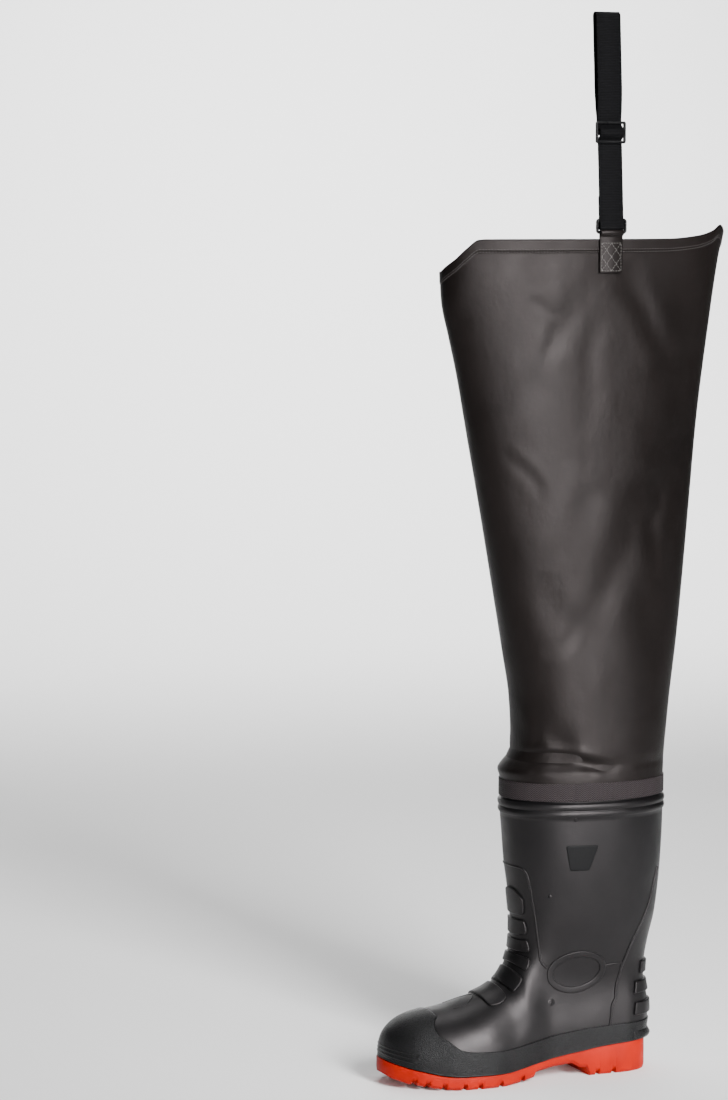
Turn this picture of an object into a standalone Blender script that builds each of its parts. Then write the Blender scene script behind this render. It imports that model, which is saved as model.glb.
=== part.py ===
"""Left hip wader: a moulded safety boot, its welded fabric leg and the strap that holds it to a belt.

The toe points along -X, the outer side is -Y and the ground is z = 0. The origin is on the ground,
under the middle of the rear heel lug. Sizes are in metres, and a table's lengths are shares of the
named sizes that its comment gives.
"""
import math
from collections import namedtuple

import bmesh
import bpy
from mathutils import Vector

# Outsole
OUTSOLE_LENGTH = 0.298
BALL_WIDTH = 0.110
HEEL_HEIGHT = 0.033
HEEL_MIDDLE = 0.12          # share of the outsole's length from the heel's back to the origin
TOE_SWING = 0.010           # how far the toe turns to the inner side
LUG_DEPTH = 0.0040
GROOVE_WIDTH = 0.0038
SIDE_BEVEL = 0.0035

# Boot
INSTEP_HEIGHT = 0.100
BOOT_HEIGHT = 0.294
COLLAR_LENGTH = 0.181
COLLAR_WIDTH = 0.124
LEG_AXIS_REACH = 0.0735     # from the heel's back to the leg's axis
BOOT_WALL = 0.0026
UPPER_INSET = 0.0010        # how far the upper stands inside the outsole's edge
RAND_STEP = 0.0015
RIB_STEP = 0.0011
HEEL_BLOCK_STEP = 0.0026
SPUR_STEP = 0.0060
BEAD_STEP = 0.0019
NECK_HEIGHT = 0.012         # plain rim above the beads, inside the leg

# Leg
LEG_HEIGHT = 0.880
LEG_TOP_LENGTH = 0.326
LEG_TOP_WIDTH = 0.096
LEG_WALL = 0.0010
HEM_DEPTH = 0.012
HEM_STEP = 0.0005
RIM_DROP = 0.033            # how far the rim falls at the front fold
TAPE_ABOVE = 0.0030         # from the boot's collar line to the leg's lower edge
TAPE_HEIGHT = 0.0185
TAPE_THICKNESS = 0.0008

# Insole, strap and its fittings
INSOLE_THICKNESS = 0.004
WEBBING_WIDTH = 0.0275
WEBBING_THICKNESS = 0.0012
STRAP_RISE = 0.233          # from the leg's rim to the top of the belt loop
STRAP_LEAN = -0.031         # sideways run of the strap for each unit of height
STRAP_X = 0.0088            # from the leg's axis to the middle of the strap at the ring
BELT_LOOP_GAP = 0.0070
TAIL_LENGTH = 0.024
TAB_WIDTH = 0.026
TAB_THICKNESS = 0.0012
TAB_LENGTH = 0.034          # how far the tab reaches below the rim
RING_HEIGHT = 0.0160
RING_WIRE = 0.0032
RING_RISE = 0.0075          # from the rim to the middle of the ring's lower bar
SLIDER_HEIGHT = 0.0227
SLIDER_THICKNESS = 0.0026
SLIDER_BAR = 0.0027
SLIDER_RISE = 0.110         # from the leg's rim to the middle of the slider

CLEARANCE = 0.0003
UPPER_SEAT = 0.0006         # from the outsole up to the upper, whose long facets bridge its curve
INSOLE_CLEARANCE = 0.0020
SIDE_ROOM = 0.0006          # between webbing and the sides of its ring or slider
WRAP_ANGLE = 50.0           # how far past a half turn a strip hugs the ring, in degrees
PASS_ANGLE = 55.0           # how far each way the strap hugs the end on the slider's middle bar

# Fineness of the surfaces
COLUMNS = 36                # round the boot and the leg alike, so that one fits in the other
FRONT_STEP = 0.0112         # between two levels along the vamp's crest
SHAFT_STEP = 0.026
INNER_STEP = 0.026
WALL_ROWS = 4               # rows up the foot's side wall

OUTER, INNER = -1, 1

HEEL_BACK_X = HEEL_MIDDLE * OUTSOLE_LENGTH
LEG_X = HEEL_BACK_X - LEG_AXIS_REACH
NECK_TOP = BOOT_HEIGHT + NECK_HEIGHT
LEG_BOTTOM = BOOT_HEIGHT + TAPE_ABOVE
STRAP_TOP = LEG_HEIGHT + STRAP_RISE
SLIDER_Z = LEG_HEIGHT + SLIDER_RISE
WALL_SHARE = 0.57           # share of INSTEP_HEIGHT up to which the foot's wall follows the sole
FOOT_WALL = WALL_SHARE * INSTEP_HEIGHT

# Outline of the outsole: along is a share of OUTSOLE_LENGTH from the heel's back,
# outer and inner are half-widths as shares of BALL_WIDTH
Plan = namedtuple("Plan", "along outer inner")
PLAN = (
    Plan(0.00, 0.000, 0.000),
    Plan(0.02, 0.190, 0.185),
    Plan(0.06, 0.295, 0.290),
    Plan(0.13, 0.345, 0.345),
    Plan(0.24, 0.345, 0.335),
    Plan(0.40, 0.350, 0.290),
    Plan(0.55, 0.440, 0.345),
    Plan(0.68, 0.525, 0.440),
    Plan(0.77, 0.525, 0.465),
    Plan(0.86, 0.470, 0.440),
    Plan(0.93, 0.370, 0.350),
    Plan(0.97, 0.255, 0.245),
    Plan(1.00, 0.000, 0.000),
)

# Side view of the outsole: heights of its top edge and its tread as shares of HEEL_HEIGHT
Sole = namedtuple("Sole", "along top tread")
SOLE = (
    Sole(0.000, 1.03, 0.06),
    Sole(0.025, 1.01, 0.00),
    Sole(0.160, 0.95, 0.00),
    Sole(0.258, 0.86, 0.00),
    Sole(0.270, 0.84, 0.28),
    Sole(0.295, 0.81, 0.29),
    Sole(0.326, 0.78, 0.46),
    Sole(0.396, 0.69, 0.41),
    Sole(0.472, 0.58, 0.31),
    Sole(0.482, 0.57, 0.15),
    Sole(0.525, 0.51, 0.07),
    Sole(0.600, 0.42, 0.00),
    Sole(0.760, 0.42, 0.00),
    Sole(0.836, 0.48, 0.06),
    Sole(0.897, 0.60, 0.15),
    Sole(0.944, 0.70, 0.22),
    Sole(0.979, 0.785, 0.31),
    Sole(1.000, 0.86, 0.42),
)
GROOVES = (0.164, 0.228, 0.532, 0.622, 0.703, 0.760, 0.830, 0.884, 0.924)
FOREFOOT_LUGS = (0.49, 0.96)
# Columns across the tread as shares of the half-width; the pairs in the middle drop into two channels
TREAD_COLUMNS = (-1.0, -0.93, -0.34, -0.31, -0.23, -0.20, 0.20, 0.23, 0.31, 0.34, 0.93, 1.0)
CHANNEL_COLUMNS = (-0.31, -0.23, 0.23, 0.31)

# Crest of the foot: height as a share of INSTEP_HEIGHT, reach from the heel's back as a share of
# OUTSOLE_LENGTH
Crest = namedtuple("Crest", "height reach")
CREST = (
    Crest(0.20, 0.9925),
    Crest(0.34, 0.9915),
    Crest(0.45, 0.9866),
    Crest(0.52, 0.9790),
    Crest(0.57, 0.9680),
    Crest(0.63, 0.9450),
    Crest(0.69, 0.9110),
    Crest(0.735, 0.8640),
    Crest(0.765, 0.8150),
    Crest(0.797, 0.7550),
    Crest(0.847, 0.6980),
    Crest(0.901, 0.6440),
    Crest(0.962, 0.6000),
    Crest(1.056, 0.5580),
    Crest(1.20, 0.5280),
    Crest(1.40, 0.5080),
)

# Shaft above the instep: height as a share of BOOT_HEIGHT, front and back as shares of COLLAR_LENGTH
# from the leg's axis, width as a half-width share of COLLAR_WIDTH
Shaft = namedtuple("Shaft", "height front back width")
SHAFT = (
    Shaft(0.07, 0.000, 0.398, 0.345),
    Shaft(0.15, 0.000, 0.418, 0.345),
    Shaft(0.20, 0.000, 0.430, 0.345),
    Shaft(0.25, 0.000, 0.427, 0.345),
    Shaft(0.29, 0.000, 0.415, 0.345),
    Shaft(0.34, 0.000, 0.403, 0.352),
    Shaft(0.39, 0.000, 0.406, 0.370),
    Shaft(0.45, 0.000, 0.420, 0.393),
    Shaft(0.51, 0.000, 0.442, 0.412),
    Shaft(0.56, 0.423, 0.462, 0.430),
    Shaft(0.65, 0.434, 0.482, 0.448),
    Shaft(0.78, 0.461, 0.500, 0.476),
    Shaft(0.89, 0.475, 0.508, 0.492),
    Shaft(0.95, 0.483, 0.510, 0.497),
    Shaft(1.003, 0.487, 0.510, 0.500),
    Shaft(1.007, 0.477, 0.501, 0.490),
)
FRONT_ROWS_FROM = 0.55      # below this height share the crest gives the front

# Cross-sections: how square the vamp's dome and the shaft's oval are
DOME_RISE = 2.5
DOME_ROUND = 2.1
SHAFT_ROUND = 2.12
# Heights as shares of INSTEP_HEIGHT between which the foot turns into the shaft
FOOT_ENDS = 0.75
SHAFT_STARTS = 1.50
LID_SLOPE = 4.0             # how steeply the dome's height goes on behind the crest's last row
LID_GROWTH = 60.0

# Beads round the collar: height as a share of NECK_HEIGHT below (-) or above BOOT_HEIGHT, and
# how far the surface stands out as a share of BEAD_STEP
Bead = namedtuple("Bead", "height proud")
BEADS = (
    Bead(-1.18, 0.00),
    Bead(-1.12, 0.60),
    Bead(-0.88, 1.00),
    Bead(-0.65, 0.60),
    Bead(-0.57, 0.15),
    Bead(-0.49, 0.60),
    Bead(-0.25, 1.00),
    Bead(0.00, 0.60),
    Bead(0.07, 0.00),
    Bead(0.18, 0.00),
)

# Side view of the raised parts of the upper. Along is a share of OUTSOLE_LENGTH from the heel's
# back, negative behind it, and height a share of INSTEP_HEIGHT
Corner = namedtuple("Corner", "along height")
RAND = (
    Corner(-0.10, 0.485),
    Corner(0.07, 0.482),
    Corner(0.177, 0.475),
    Corner(0.28, 0.453),
    Corner(0.39, 0.412),
    Corner(0.52, 0.353),
    Corner(0.63, 0.325),
    Corner(0.705, 0.328),
    Corner(0.755, 0.345),
    Corner(0.785, 0.385),
    Corner(0.812, 0.470),
    Corner(0.830, 0.600),
    Corner(0.826, 0.720),
    Corner(0.818, 1.200),
    Corner(1.10, 1.200),
    Corner(1.10, -0.20),
    Corner(-0.10, -0.20),
)
RIBS = (
    (Corner(0.487, 1.76), Corner(0.494, 1.90), Corner(0.507, 2.00), Corner(0.545, 2.03),
     Corner(0.545, 1.76)),
    (Corner(0.476, 1.56), Corner(0.478, 1.73), Corner(0.545, 1.73), Corner(0.545, 1.56)),
    (Corner(0.470, 1.38), Corner(0.470, 1.52), Corner(0.545, 1.52), Corner(0.545, 1.38)),
    (Corner(0.491, 1.15), Corner(0.478, 1.29), Corner(0.555, 1.355), Corner(0.565, 1.235)),
    (Corner(0.542, 0.94), Corner(0.502, 1.08), Corner(0.560, 1.20), Corner(0.612, 1.07)),
    (Corner(0.643, 0.82), Corner(0.575, 0.87), Corner(0.555, 0.895), Corner(0.621, 1.045),
     Corner(0.696, 0.97), Corner(0.680, 0.87)),
)
HEEL_BLOCKS = (
    (Corner(0.045, 0.98), Corner(0.045, 1.12), Corner(-0.10, 1.12), Corner(-0.10, 0.98)),
    (Corner(0.062, 0.81), Corner(0.062, 0.94), Corner(-0.10, 0.94), Corner(-0.10, 0.81)),
    (Corner(0.062, 0.59), Corner(0.062, 0.75), Corner(-0.10, 0.75), Corner(-0.10, 0.59)),
)
SPUR = ((Corner(0.030, 0.43), Corner(-0.045, 0.385), Corner(-0.045, 0.360), Corner(0.030, 0.32)),)
# Ankle oval, as shares of OUTSOLE_LENGTH: its place, its half-length and half-height
OVAL_ALONG = 0.309
OVAL_HEIGHT = 0.3765
OVAL_LENGTH = 0.112
OVAL_RISE = 0.077
OVAL_BAND = 0.0070
OVAL_TILT = math.radians(5.0)
OVAL_POINTS = 22

# The leg between the collar and the rim: rise is a share of its height, and each other column is
# the share of the way from the collar's size to the rim's, past nought where it draws in
Leg = namedtuple("Leg", "rise front back width")
LEG = (
    Leg(0.000, 0.000, 0.000, 0.00),
    Leg(0.031, 0.000, 0.003, 0.00),
    Leg(0.049, 0.035, 0.012, 0.00),
    Leg(0.062, -0.027, 0.015, 0.12),
    Leg(0.082, -0.158, 0.023, 0.08),
    Leg(0.111, -0.160, 0.048, 0.10),
    Leg(0.177, -0.130, 0.112, 0.17),
    Leg(0.262, -0.018, 0.212, 0.26),
    Leg(0.348, 0.103, 0.297, 0.34),
    Leg(0.520, 0.349, 0.443, 0.51),
    Leg(0.691, 0.605, 0.583, 0.69),
    Leg(0.863, 0.842, 0.787, 0.86),
    Leg(0.949, 0.948, 0.906, 0.95),
    Leg(1.000, 0.966, 1.000, 1.00),
)
LEG_LEVELS = (0.0, 0.031, 0.043, 0.052, 0.060, 0.070, 0.082, 0.111, 0.16, 0.23, 0.34, 0.47,
              0.61, 0.75, 0.88)
RIM_BLEND = 0.72            # rise above which the levels bend towards the rim's line
# Rim: around is a share of the half turn from the front fold to the back, outer and inner are that
# side's rise as shares of RIM_DROP
Rim = namedtuple("Rim", "around outer inner")
RIM = (
    Rim(0.00, -1.00, -1.00),
    Rim(0.10, -0.63, -1.00),
    Rim(0.15, -0.30, -0.84),
    Rim(0.20, 0.00, -0.60),
    Rim(0.25, 0.00, -0.25),
    Rim(0.30, 0.00, 0.00),
    Rim(0.65, 0.02, 0.00),
    Rim(0.75, 0.11, 0.01),
    Rim(0.83, 0.29, 0.03),
    Rim(0.88, 0.46, 0.07),
    Rim(0.94, 0.27, 0.12),
    Rim(1.00, 0.10, 0.10),
)
# Main folds of the leg: rise and along (share of its half-length from the middle, toe side
# negative), the length and width of the fold and its depth as shares of LEG_TOP_WIDTH, and the
# side of the leg that it is on
Fold = namedtuple("Fold", "rise along slope length width depth side")
FOLDS = (
    Fold(0.063, -0.40, 0.00, 0.80, 0.050, 0.035, OUTER),
    Fold(0.100, -0.62, -0.60, 0.25, 0.090, 0.040, OUTER),
    Fold(0.300, -0.30, -1.20, 0.60, 0.150, 0.022, OUTER),
    Fold(0.420, 0.05, 3.00, 0.70, 0.180, 0.020, OUTER),
    Fold(0.560, 0.62, 2.40, 0.80, 0.200, 0.030, OUTER),
    Fold(0.900, 0.42, -0.90, 0.60, 0.170, 0.040, OUTER),
    Fold(0.200, 0.10, 1.60, 0.70, 0.160, 0.025, INNER),
    Fold(0.500, -0.35, -1.50, 0.80, 0.200, 0.030, INNER),
    Fold(0.800, 0.25, 1.30, 0.80, 0.200, 0.030, INNER),
)

def clamp(value, low, high):
    return max(low, min(high, value))


def blend(start, end, share):
    return start + (end - start) * share


def smoothstep(value, low, high):
    share = clamp((value - low) / (high - low), 0.0, 1.0)
    return share * share * (3.0 - 2.0 * share)


def smooth_curve(keys, values):
    """Return a curve through the points that never swings past them."""
    count = len(keys)
    slopes = [(values[i + 1] - values[i]) / (keys[i + 1] - keys[i]) for i in range(count - 1)]
    turns = [slopes[0]]
    for before, after in zip(slopes, slopes[1:]):
        same_way = before * after > 0.0
        turns.append(2.0 * before * after / (before + after) if same_way else 0.0)
    turns.append(slopes[-1])

    def curve(key):
        key = clamp(key, keys[0], keys[-1])
        i = 0
        while i < count - 2 and key > keys[i + 1]:
            i += 1
        step = keys[i + 1] - keys[i]
        t = (key - keys[i]) / step
        return ((1 + 2 * t) * (1 - t) ** 2 * values[i] + t * (1 - t) ** 2 * step * turns[i]
                + t * t * (3 - 2 * t) * values[i + 1] + t * t * (t - 1) * step * turns[i + 1])

    return curve


def turn_of(share):
    """Return the angle that makes a half-width table round at both ends of the foot."""
    return math.acos(1.0 - 2.0 * clamp(share, 0.0, 1.0))


plan_turns = [turn_of(row.along) for row in PLAN]
plan_half = {
    OUTER: smooth_curve(plan_turns, [row.outer * BALL_WIDTH for row in PLAN]),
    INNER: smooth_curve(plan_turns, [row.inner * BALL_WIDTH for row in PLAN]),
}
sole_along = [row.along for row in SOLE]
sole_top = smooth_curve(sole_along, [row.top * HEEL_HEIGHT for row in SOLE])
front_rows = [(row.height * INSTEP_HEIGHT, HEEL_BACK_X - row.reach * OUTSOLE_LENGTH) for row in CREST]
front_rows += [(row.height * BOOT_HEIGHT, LEG_X - row.front * COLLAR_LENGTH)
               for row in SHAFT if row.height > FRONT_ROWS_FROM]
front_x = smooth_curve([row[0] for row in front_rows], [row[1] for row in front_rows])
shaft_heights = [row.height * BOOT_HEIGHT for row in SHAFT]
back_x = smooth_curve(shaft_heights, [LEG_X + row.back * COLLAR_LENGTH for row in SHAFT])
shaft_half = smooth_curve(shaft_heights, [row.width * COLLAR_WIDTH for row in SHAFT])
bead_proud = smooth_curve([BOOT_HEIGHT + row.height * NECK_HEIGHT for row in BEADS],
                          [row.proud * BEAD_STEP for row in BEADS])
leg_rises = [row.rise for row in LEG]
leg_front = smooth_curve(leg_rises, [row.front for row in LEG])
leg_back = smooth_curve(leg_rises, [row.back for row in LEG])
leg_width = smooth_curve(leg_rises, [row.width for row in LEG])
rim_arounds = [row.around for row in RIM]
rim_lift = {
    OUTER: smooth_curve(rim_arounds, [row.outer * RIM_DROP for row in RIM]),
    INNER: smooth_curve(rim_arounds, [row.inner * RIM_DROP for row in RIM]),
}


def tread_height(share):
    """Return the tread's height, with straight runs between the rows."""
    for row, following in zip(SOLE, SOLE[1:]):
        if share <= following.along:
            part = (share - row.along) / (following.along - row.along)
            return blend(row.tread, following.tread, part) * HEEL_HEIGHT
    return SOLE[-1].tread * HEEL_HEIGHT


def half_width(side, share, inset):
    """Return the plan's half-width, drawn in by the inset and still round at its ends."""
    half = plan_half[side](turn_of(share))
    return half - inset * min(1.0, half / (0.25 * BALL_WIDTH))


def centre_y(share):
    return TOE_SWING * smoothstep(share, 0.45, 1.0)


def feather_z(share):
    return sole_top(share) + UPPER_SEAT


def crest_z(x):
    """Return the height of the foot's crest above a place along it."""
    low, high = CREST[0].height * INSTEP_HEIGHT, CREST[-1].height * INSTEP_HEIGHT
    if x >= front_x(high):
        past = x - front_x(high)
        return high + LID_SLOPE * past + LID_GROWTH * past * past
    for _ in range(30):
        middle = 0.5 * (low + high)
        if front_x(middle) > x:
            high = middle
        else:
            low = middle
    return high


def upper_point(turn, level):
    """Return a point of the boot's outer surface.

    turn goes round the boot from the toe over the outer side to the heel and back, and level is
    the height, measured on the foot's wall as a share of the way up from the sole.
    """
    part = clamp(level / FOOT_WALL, -1.0, 1.0)
    front = front_x(max(blend(feather_z(1.0), 0.0, part) + level, 0.0))
    back = back_x(blend(feather_z(0.0), 0.0, part) + level)
    x = 0.5 * (front + back) - 0.5 * (back - front) * math.cos(turn)
    share = (back - x) / (back - front_x(feather_z(1.0)))
    side = OUTER if math.sin(turn) >= 0.0 else INNER
    base = feather_z(share)
    z = blend(base, 0.0, part) + level
    ratio = clamp((z - base) / max(crest_z(x) - base, CLEARANCE), 0.0, 1.0)
    dome = (1.0 - ratio ** DOME_RISE) ** (1.0 / DOME_ROUND)
    foot = half_width(side, share, UPPER_INSET) * dome
    oval = max(1.0 - abs(math.cos(turn)) ** SHAFT_ROUND, 0.0) ** (1.0 / SHAFT_ROUND)
    shaft = shaft_half(z) * oval
    turned = smoothstep(z, FOOT_ENDS * INSTEP_HEIGHT, SHAFT_STARTS * INSTEP_HEIGHT)
    y = centre_y(share) * (1.0 - turned) + side * blend(foot, shaft, turned)
    return Vector((x, y, z))


def stand_out(surface, turn, level, distance, turn_step=0.03, level_step=0.0006):
    """Return the surface's point moved outwards along its normal."""
    point = surface(turn, level)
    if distance == 0.0:
        return point
    around = surface(turn + turn_step, level) - surface(turn - turn_step, level)
    upwards = surface(turn, level + level_step) - surface(turn, level - level_step)
    return point + around.cross(upwards).normalized() * distance


def ring(surface, level, distance, columns):
    """Return one closed row of points round a surface."""
    return [stand_out(surface, 2.0 * math.pi * i / columns, level, distance) for i in range(columns)]


def levels_between(low, high, step):
    """Return heights whose places on the front are about a step apart, without the last one."""
    fine = 200
    walk = [(front_x(blend(low, high, i / fine)), blend(low, high, i / fine)) for i in range(fine + 1)]
    lengths = [0.0]
    for before, after in zip(walk, walk[1:]):
        lengths.append(lengths[-1] + math.dist(before, after))
    count = max(1, round(lengths[-1] / step))
    levels = []
    for i in range(count):
        wanted = lengths[-1] * i / count
        place = next(k for k, length in enumerate(lengths) if length >= wanted)
        levels.append(walk[place][1])
    return levels


def upper_levels(vamp_step, shaft_step, wall_rows):
    """Return the levels of the upper's outer or inner surface below the beads."""
    levels = [FOOT_WALL * i / wall_rows for i in range(wall_rows)]
    levels += levels_between(FOOT_WALL, SHAFT_STARTS * INSTEP_HEIGHT, vamp_step)
    levels += levels_between(SHAFT_STARTS * INSTEP_HEIGHT, BOOT_HEIGHT + BEADS[0].height * NECK_HEIGHT,
                             shaft_step)
    levels[0] = CLEARANCE
    return levels


def material(name, colour, roughness, metallic=0.0):
    made = bpy.data.materials.new(name)
    made.use_nodes = True
    shader = made.node_tree.nodes["Principled BSDF"]
    shader.inputs["Base Color"].default_value = (*colour, 1.0)
    shader.inputs["Roughness"].default_value = roughness
    shader.inputs["Metallic"].default_value = metallic
    return made


def add_object(name, mesh, collection, finish=None):
    made = bpy.data.objects.new(name, mesh)
    if finish:
        made.data.materials.append(finish)
    else:
        made.hide_render = True
        made.display_type = "WIRE"
    collection.objects.link(made)
    return made


def loft(name, rings, closed=False):
    """Return a mesh through rings of equally many points, with end faces unless it is closed."""
    sheet = bmesh.new()
    rows = [[sheet.verts.new(point) for point in points] for points in rings]
    pairs = list(zip(rows, rows[1:]))
    if closed:
        pairs.append((rows[-1], rows[0]))
    else:
        sheet.faces.new(reversed(rows[0]))
        sheet.faces.new(rows[-1])
    for lower, upper in pairs:
        for i in range(len(lower)):
            following = (i + 1) % len(lower)
            sheet.faces.new((lower[i], lower[following], upper[following], upper[i]))
    bmesh.ops.recalc_face_normals(sheet, faces=sheet.faces)
    bmesh.ops.triangulate(sheet, faces=sheet.faces, quad_method="SHORT_EDGE")
    mesh = bpy.data.meshes.new(name)
    sheet.to_mesh(mesh)
    sheet.free()
    return mesh


def boolean(target, tool, operation, solver="EXACT"):
    modifier = target.modifiers.new(operation.title() + " " + tool.name, "BOOLEAN")
    modifier.operation = operation
    modifier.object = tool
    modifier.solver = solver


def side_prism(outlines):
    """Return a mesh of side-view outlines drawn across the whole boot."""
    sheet = bmesh.new()
    for outline in outlines:
        places = [(HEEL_BACK_X - corner.along * OUTSOLE_LENGTH, corner.height * INSTEP_HEIGHT)
                  for corner in outline]
        face = sheet.faces.new([sheet.verts.new((x, -BALL_WIDTH, z)) for x, z in places])
        moved = bmesh.ops.extrude_face_region(sheet, geom=[face])
        corners = [item for item in moved["geom"] if isinstance(item, bmesh.types.BMVert)]
        bmesh.ops.translate(sheet, verts=corners, vec=(0.0, 2.0 * BALL_WIDTH, 0.0))
    bmesh.ops.recalc_face_normals(sheet, faces=sheet.faces)
    mesh = bpy.data.meshes.new("Side prism")
    sheet.to_mesh(mesh)
    sheet.free()
    return mesh


def oval_prism():
    """Return the ankle oval's band, drawn across the whole boot."""
    middle_x = HEEL_BACK_X - OVAL_ALONG * OUTSOLE_LENGTH
    middle_z = OVAL_HEIGHT * OUTSOLE_LENGTH

    def oval(y, drawn_in):
        points = []
        for i in range(OVAL_POINTS):
            angle = 2.0 * math.pi * i / OVAL_POINTS
            along = (OVAL_LENGTH * OUTSOLE_LENGTH - drawn_in) * math.cos(angle)
            up = (OVAL_RISE * OUTSOLE_LENGTH - drawn_in) * math.sin(angle)
            points.append((middle_x + along * math.cos(OVAL_TILT) - up * math.sin(OVAL_TILT), y,
                           middle_z + along * math.sin(OVAL_TILT) + up * math.cos(OVAL_TILT)))
        return points

    return loft("Oval prism", [oval(-BALL_WIDTH, 0.0), oval(BALL_WIDTH, 0.0),
                               oval(BALL_WIDTH, OVAL_BAND), oval(-BALL_WIDTH, OVAL_BAND)], closed=True)


def upper_shell(name, levels, inner_levels, outside, inside):
    """Return the closed wall between two offsets of the upper's surface."""
    outer = [ring(upper_point, level, outside(level), COLUMNS) for level in levels]
    inner = [ring(upper_point, level, inside, COLUMNS) for level in reversed(inner_levels)]
    return loft(name, outer + inner, closed=True)


def raise_parts(upper, name, prism, step, cutters):
    """Join to the upper the stretch of a thicker wall that a prism cuts out."""
    levels = upper_levels(FRONT_STEP, SHAFT_STEP, WALL_ROWS)
    levels[0] = 0.0
    shell = upper_shell(name, levels, levels, lambda level: step, -0.5 * BOOT_WALL)
    band = add_object(name, shell, cutters)
    tool = add_object(name + " outline", prism, cutters)
    boolean(band, tool, "INTERSECT", "MANIFOLD")
    boolean(upper, band, "UNION", "MANIFOLD")


def make_upper(collection, cutters):
    levels = upper_levels(FRONT_STEP, SHAFT_STEP, WALL_ROWS)
    levels += [BOOT_HEIGHT + row.height * NECK_HEIGHT for row in BEADS] + [NECK_TOP]
    inner_levels = upper_levels(INNER_STEP, 2.0 * SHAFT_STEP, WALL_ROWS - 1) + [NECK_TOP]
    mesh = upper_shell("boot_upper", levels, inner_levels, bead_proud, -BOOT_WALL)
    finish = material("Black PVC", (0.012, 0.012, 0.013), 0.32)
    upper = add_object("boot_upper", mesh, collection, finish)
    raise_parts(upper, "Rand and toe cap", side_prism([RAND]), RAND_STEP, cutters)
    raise_parts(upper, "Shin ribs", side_prism(RIBS), RIB_STEP, cutters)
    raise_parts(upper, "Ankle oval", oval_prism(), RIB_STEP, cutters)
    raise_parts(upper, "Heel blocks", side_prism(HEEL_BLOCKS), HEEL_BLOCK_STEP, cutters)
    raise_parts(upper, "Kick spur", side_prism(SPUR), SPUR_STEP, cutters)
    return upper


def outsole_stations():
    """Return the places along the outsole, with two pairs for the walls of each groove."""
    half = 0.5 * GROOVE_WIDTH / OUTSOLE_LENGTH
    wall = 0.25 * half
    places = {0.0015, 0.006, 0.014, 0.05, 0.09, 0.13, 0.20, 0.36, 0.43, 0.65, 0.73, 0.80, 0.86,
              0.905, 0.965, 0.988, 0.994, 0.9985}
    places.update(row.along for row in SOLE if 0.0 < row.along < 1.0)
    for groove in GROOVES:
        places = {place for place in places if abs(place - groove) > half + 2.0 * wall}
        places.update((groove - half - wall, groove - half, groove + half, groove + half + wall))
    places.update(FOREFOOT_LUGS[i] + shift for i, shift in ((0, wall), (1, -wall)))
    places.update(FOREFOOT_LUGS)
    return sorted(places)


def in_groove(share):
    half = 0.5 * GROOVE_WIDTH / OUTSOLE_LENGTH
    return any(abs(share - groove) <= 1.01 * half for groove in GROOVES)


def outsole_ring(share):
    """Return the outsole's cross-section, along the tread and back over the top."""
    x = HEEL_BACK_X - share * OUTSOLE_LENGTH
    floor = tread_height(share)
    top = sole_top(share)
    bevel = min(SIDE_BEVEL, 0.4 * (top - floor))
    channelled = FOREFOOT_LUGS[0] < share < FOREFOOT_LUGS[1]
    points = []
    for column in TREAD_COLUMNS:
        side = OUTER if column < 0.0 else INNER
        y = centre_y(share) + column * half_width(side, share, 0.0)
        cut = in_groove(share) or (channelled and column in CHANNEL_COLUMNS)
        z = floor + (LUG_DEPTH if cut else 0.0)
        if abs(column) == 1.0:
            z += bevel
        points.append((x, y, min(z, top - bevel)))
    for side in (INNER, OUTER):
        points.append((x, centre_y(share) + side * half_width(side, share, 0.0), top))
    return points


def make_outsole(collection):
    rings = [outsole_ring(share) for share in outsole_stations()]
    finish = material("Red rubber", (0.80, 0.045, 0.012), 0.45)
    return add_object("outsole", loft("outsole", rings), collection, finish)


def make_insole(collection):
    inset = UPPER_INSET + BOOT_WALL + INSOLE_CLEARANCE
    rings = []
    stations = 20
    for i in range(stations):
        share = 0.5 - 0.5 * math.cos(math.pi * (i + 0.35) / (stations - 0.3))
        x = HEEL_BACK_X - inset - share * (OUTSOLE_LENGTH - 2.0 * inset)
        place = (HEEL_BACK_X - x) / OUTSOLE_LENGTH
        low = sole_top(place) + CLEARANCE
        outer = centre_y(place) - half_width(OUTER, share, inset)
        inner = centre_y(place) + half_width(INNER, share, inset)
        high = low + INSOLE_THICKNESS
        rings.append([(x, outer, low), (x, inner, low), (x, inner, high), (x, outer, high)])
    finish = material("Grey insole", (0.10, 0.10, 0.11), 0.85)
    return add_object("insole", loft("insole", rings), collection, finish)


def collar_reach():
    """Return where the leg's outer surface starts: front, back and half-width."""
    grown = CLEARANCE + LEG_WALL
    return front_x(NECK_TOP) - grown, back_x(NECK_TOP) + grown, shaft_half(NECK_TOP) + grown


def leg_point(turn, rise):
    """Return a point of the leg's outer surface, from the collar (0) to the rim (1)."""
    rise_in = clamp(rise, 0.0, 1.0)
    front, back, half = collar_reach()
    front = blend(front, LEG_X - 0.5 * LEG_TOP_LENGTH, leg_front(rise_in))
    back = blend(back, LEG_X + 0.5 * LEG_TOP_LENGTH, leg_back(rise_in))
    half = blend(half, 0.5 * LEG_TOP_WIDTH, leg_width(rise_in))
    along = -math.cos(turn)
    x = 0.5 * (front + back) + 0.5 * (back - front) * along
    side = OUTER if math.sin(turn) >= 0.0 else INNER
    oval = max(1.0 - abs(along) ** SHAFT_ROUND, 0.0) ** (1.0 / SHAFT_ROUND)
    y = side * (half * oval - leg_fold(along, rise_in, side))
    around = abs(math.acos(clamp(-along, -1.0, 1.0))) / math.pi
    lift = rim_lift[side](around) * smoothstep(rise_in, RIM_BLEND, 1.0)
    return Vector((x, y, LEG_BOTTOM + rise * (LEG_HEIGHT - LEG_BOTTOM) + lift))


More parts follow.
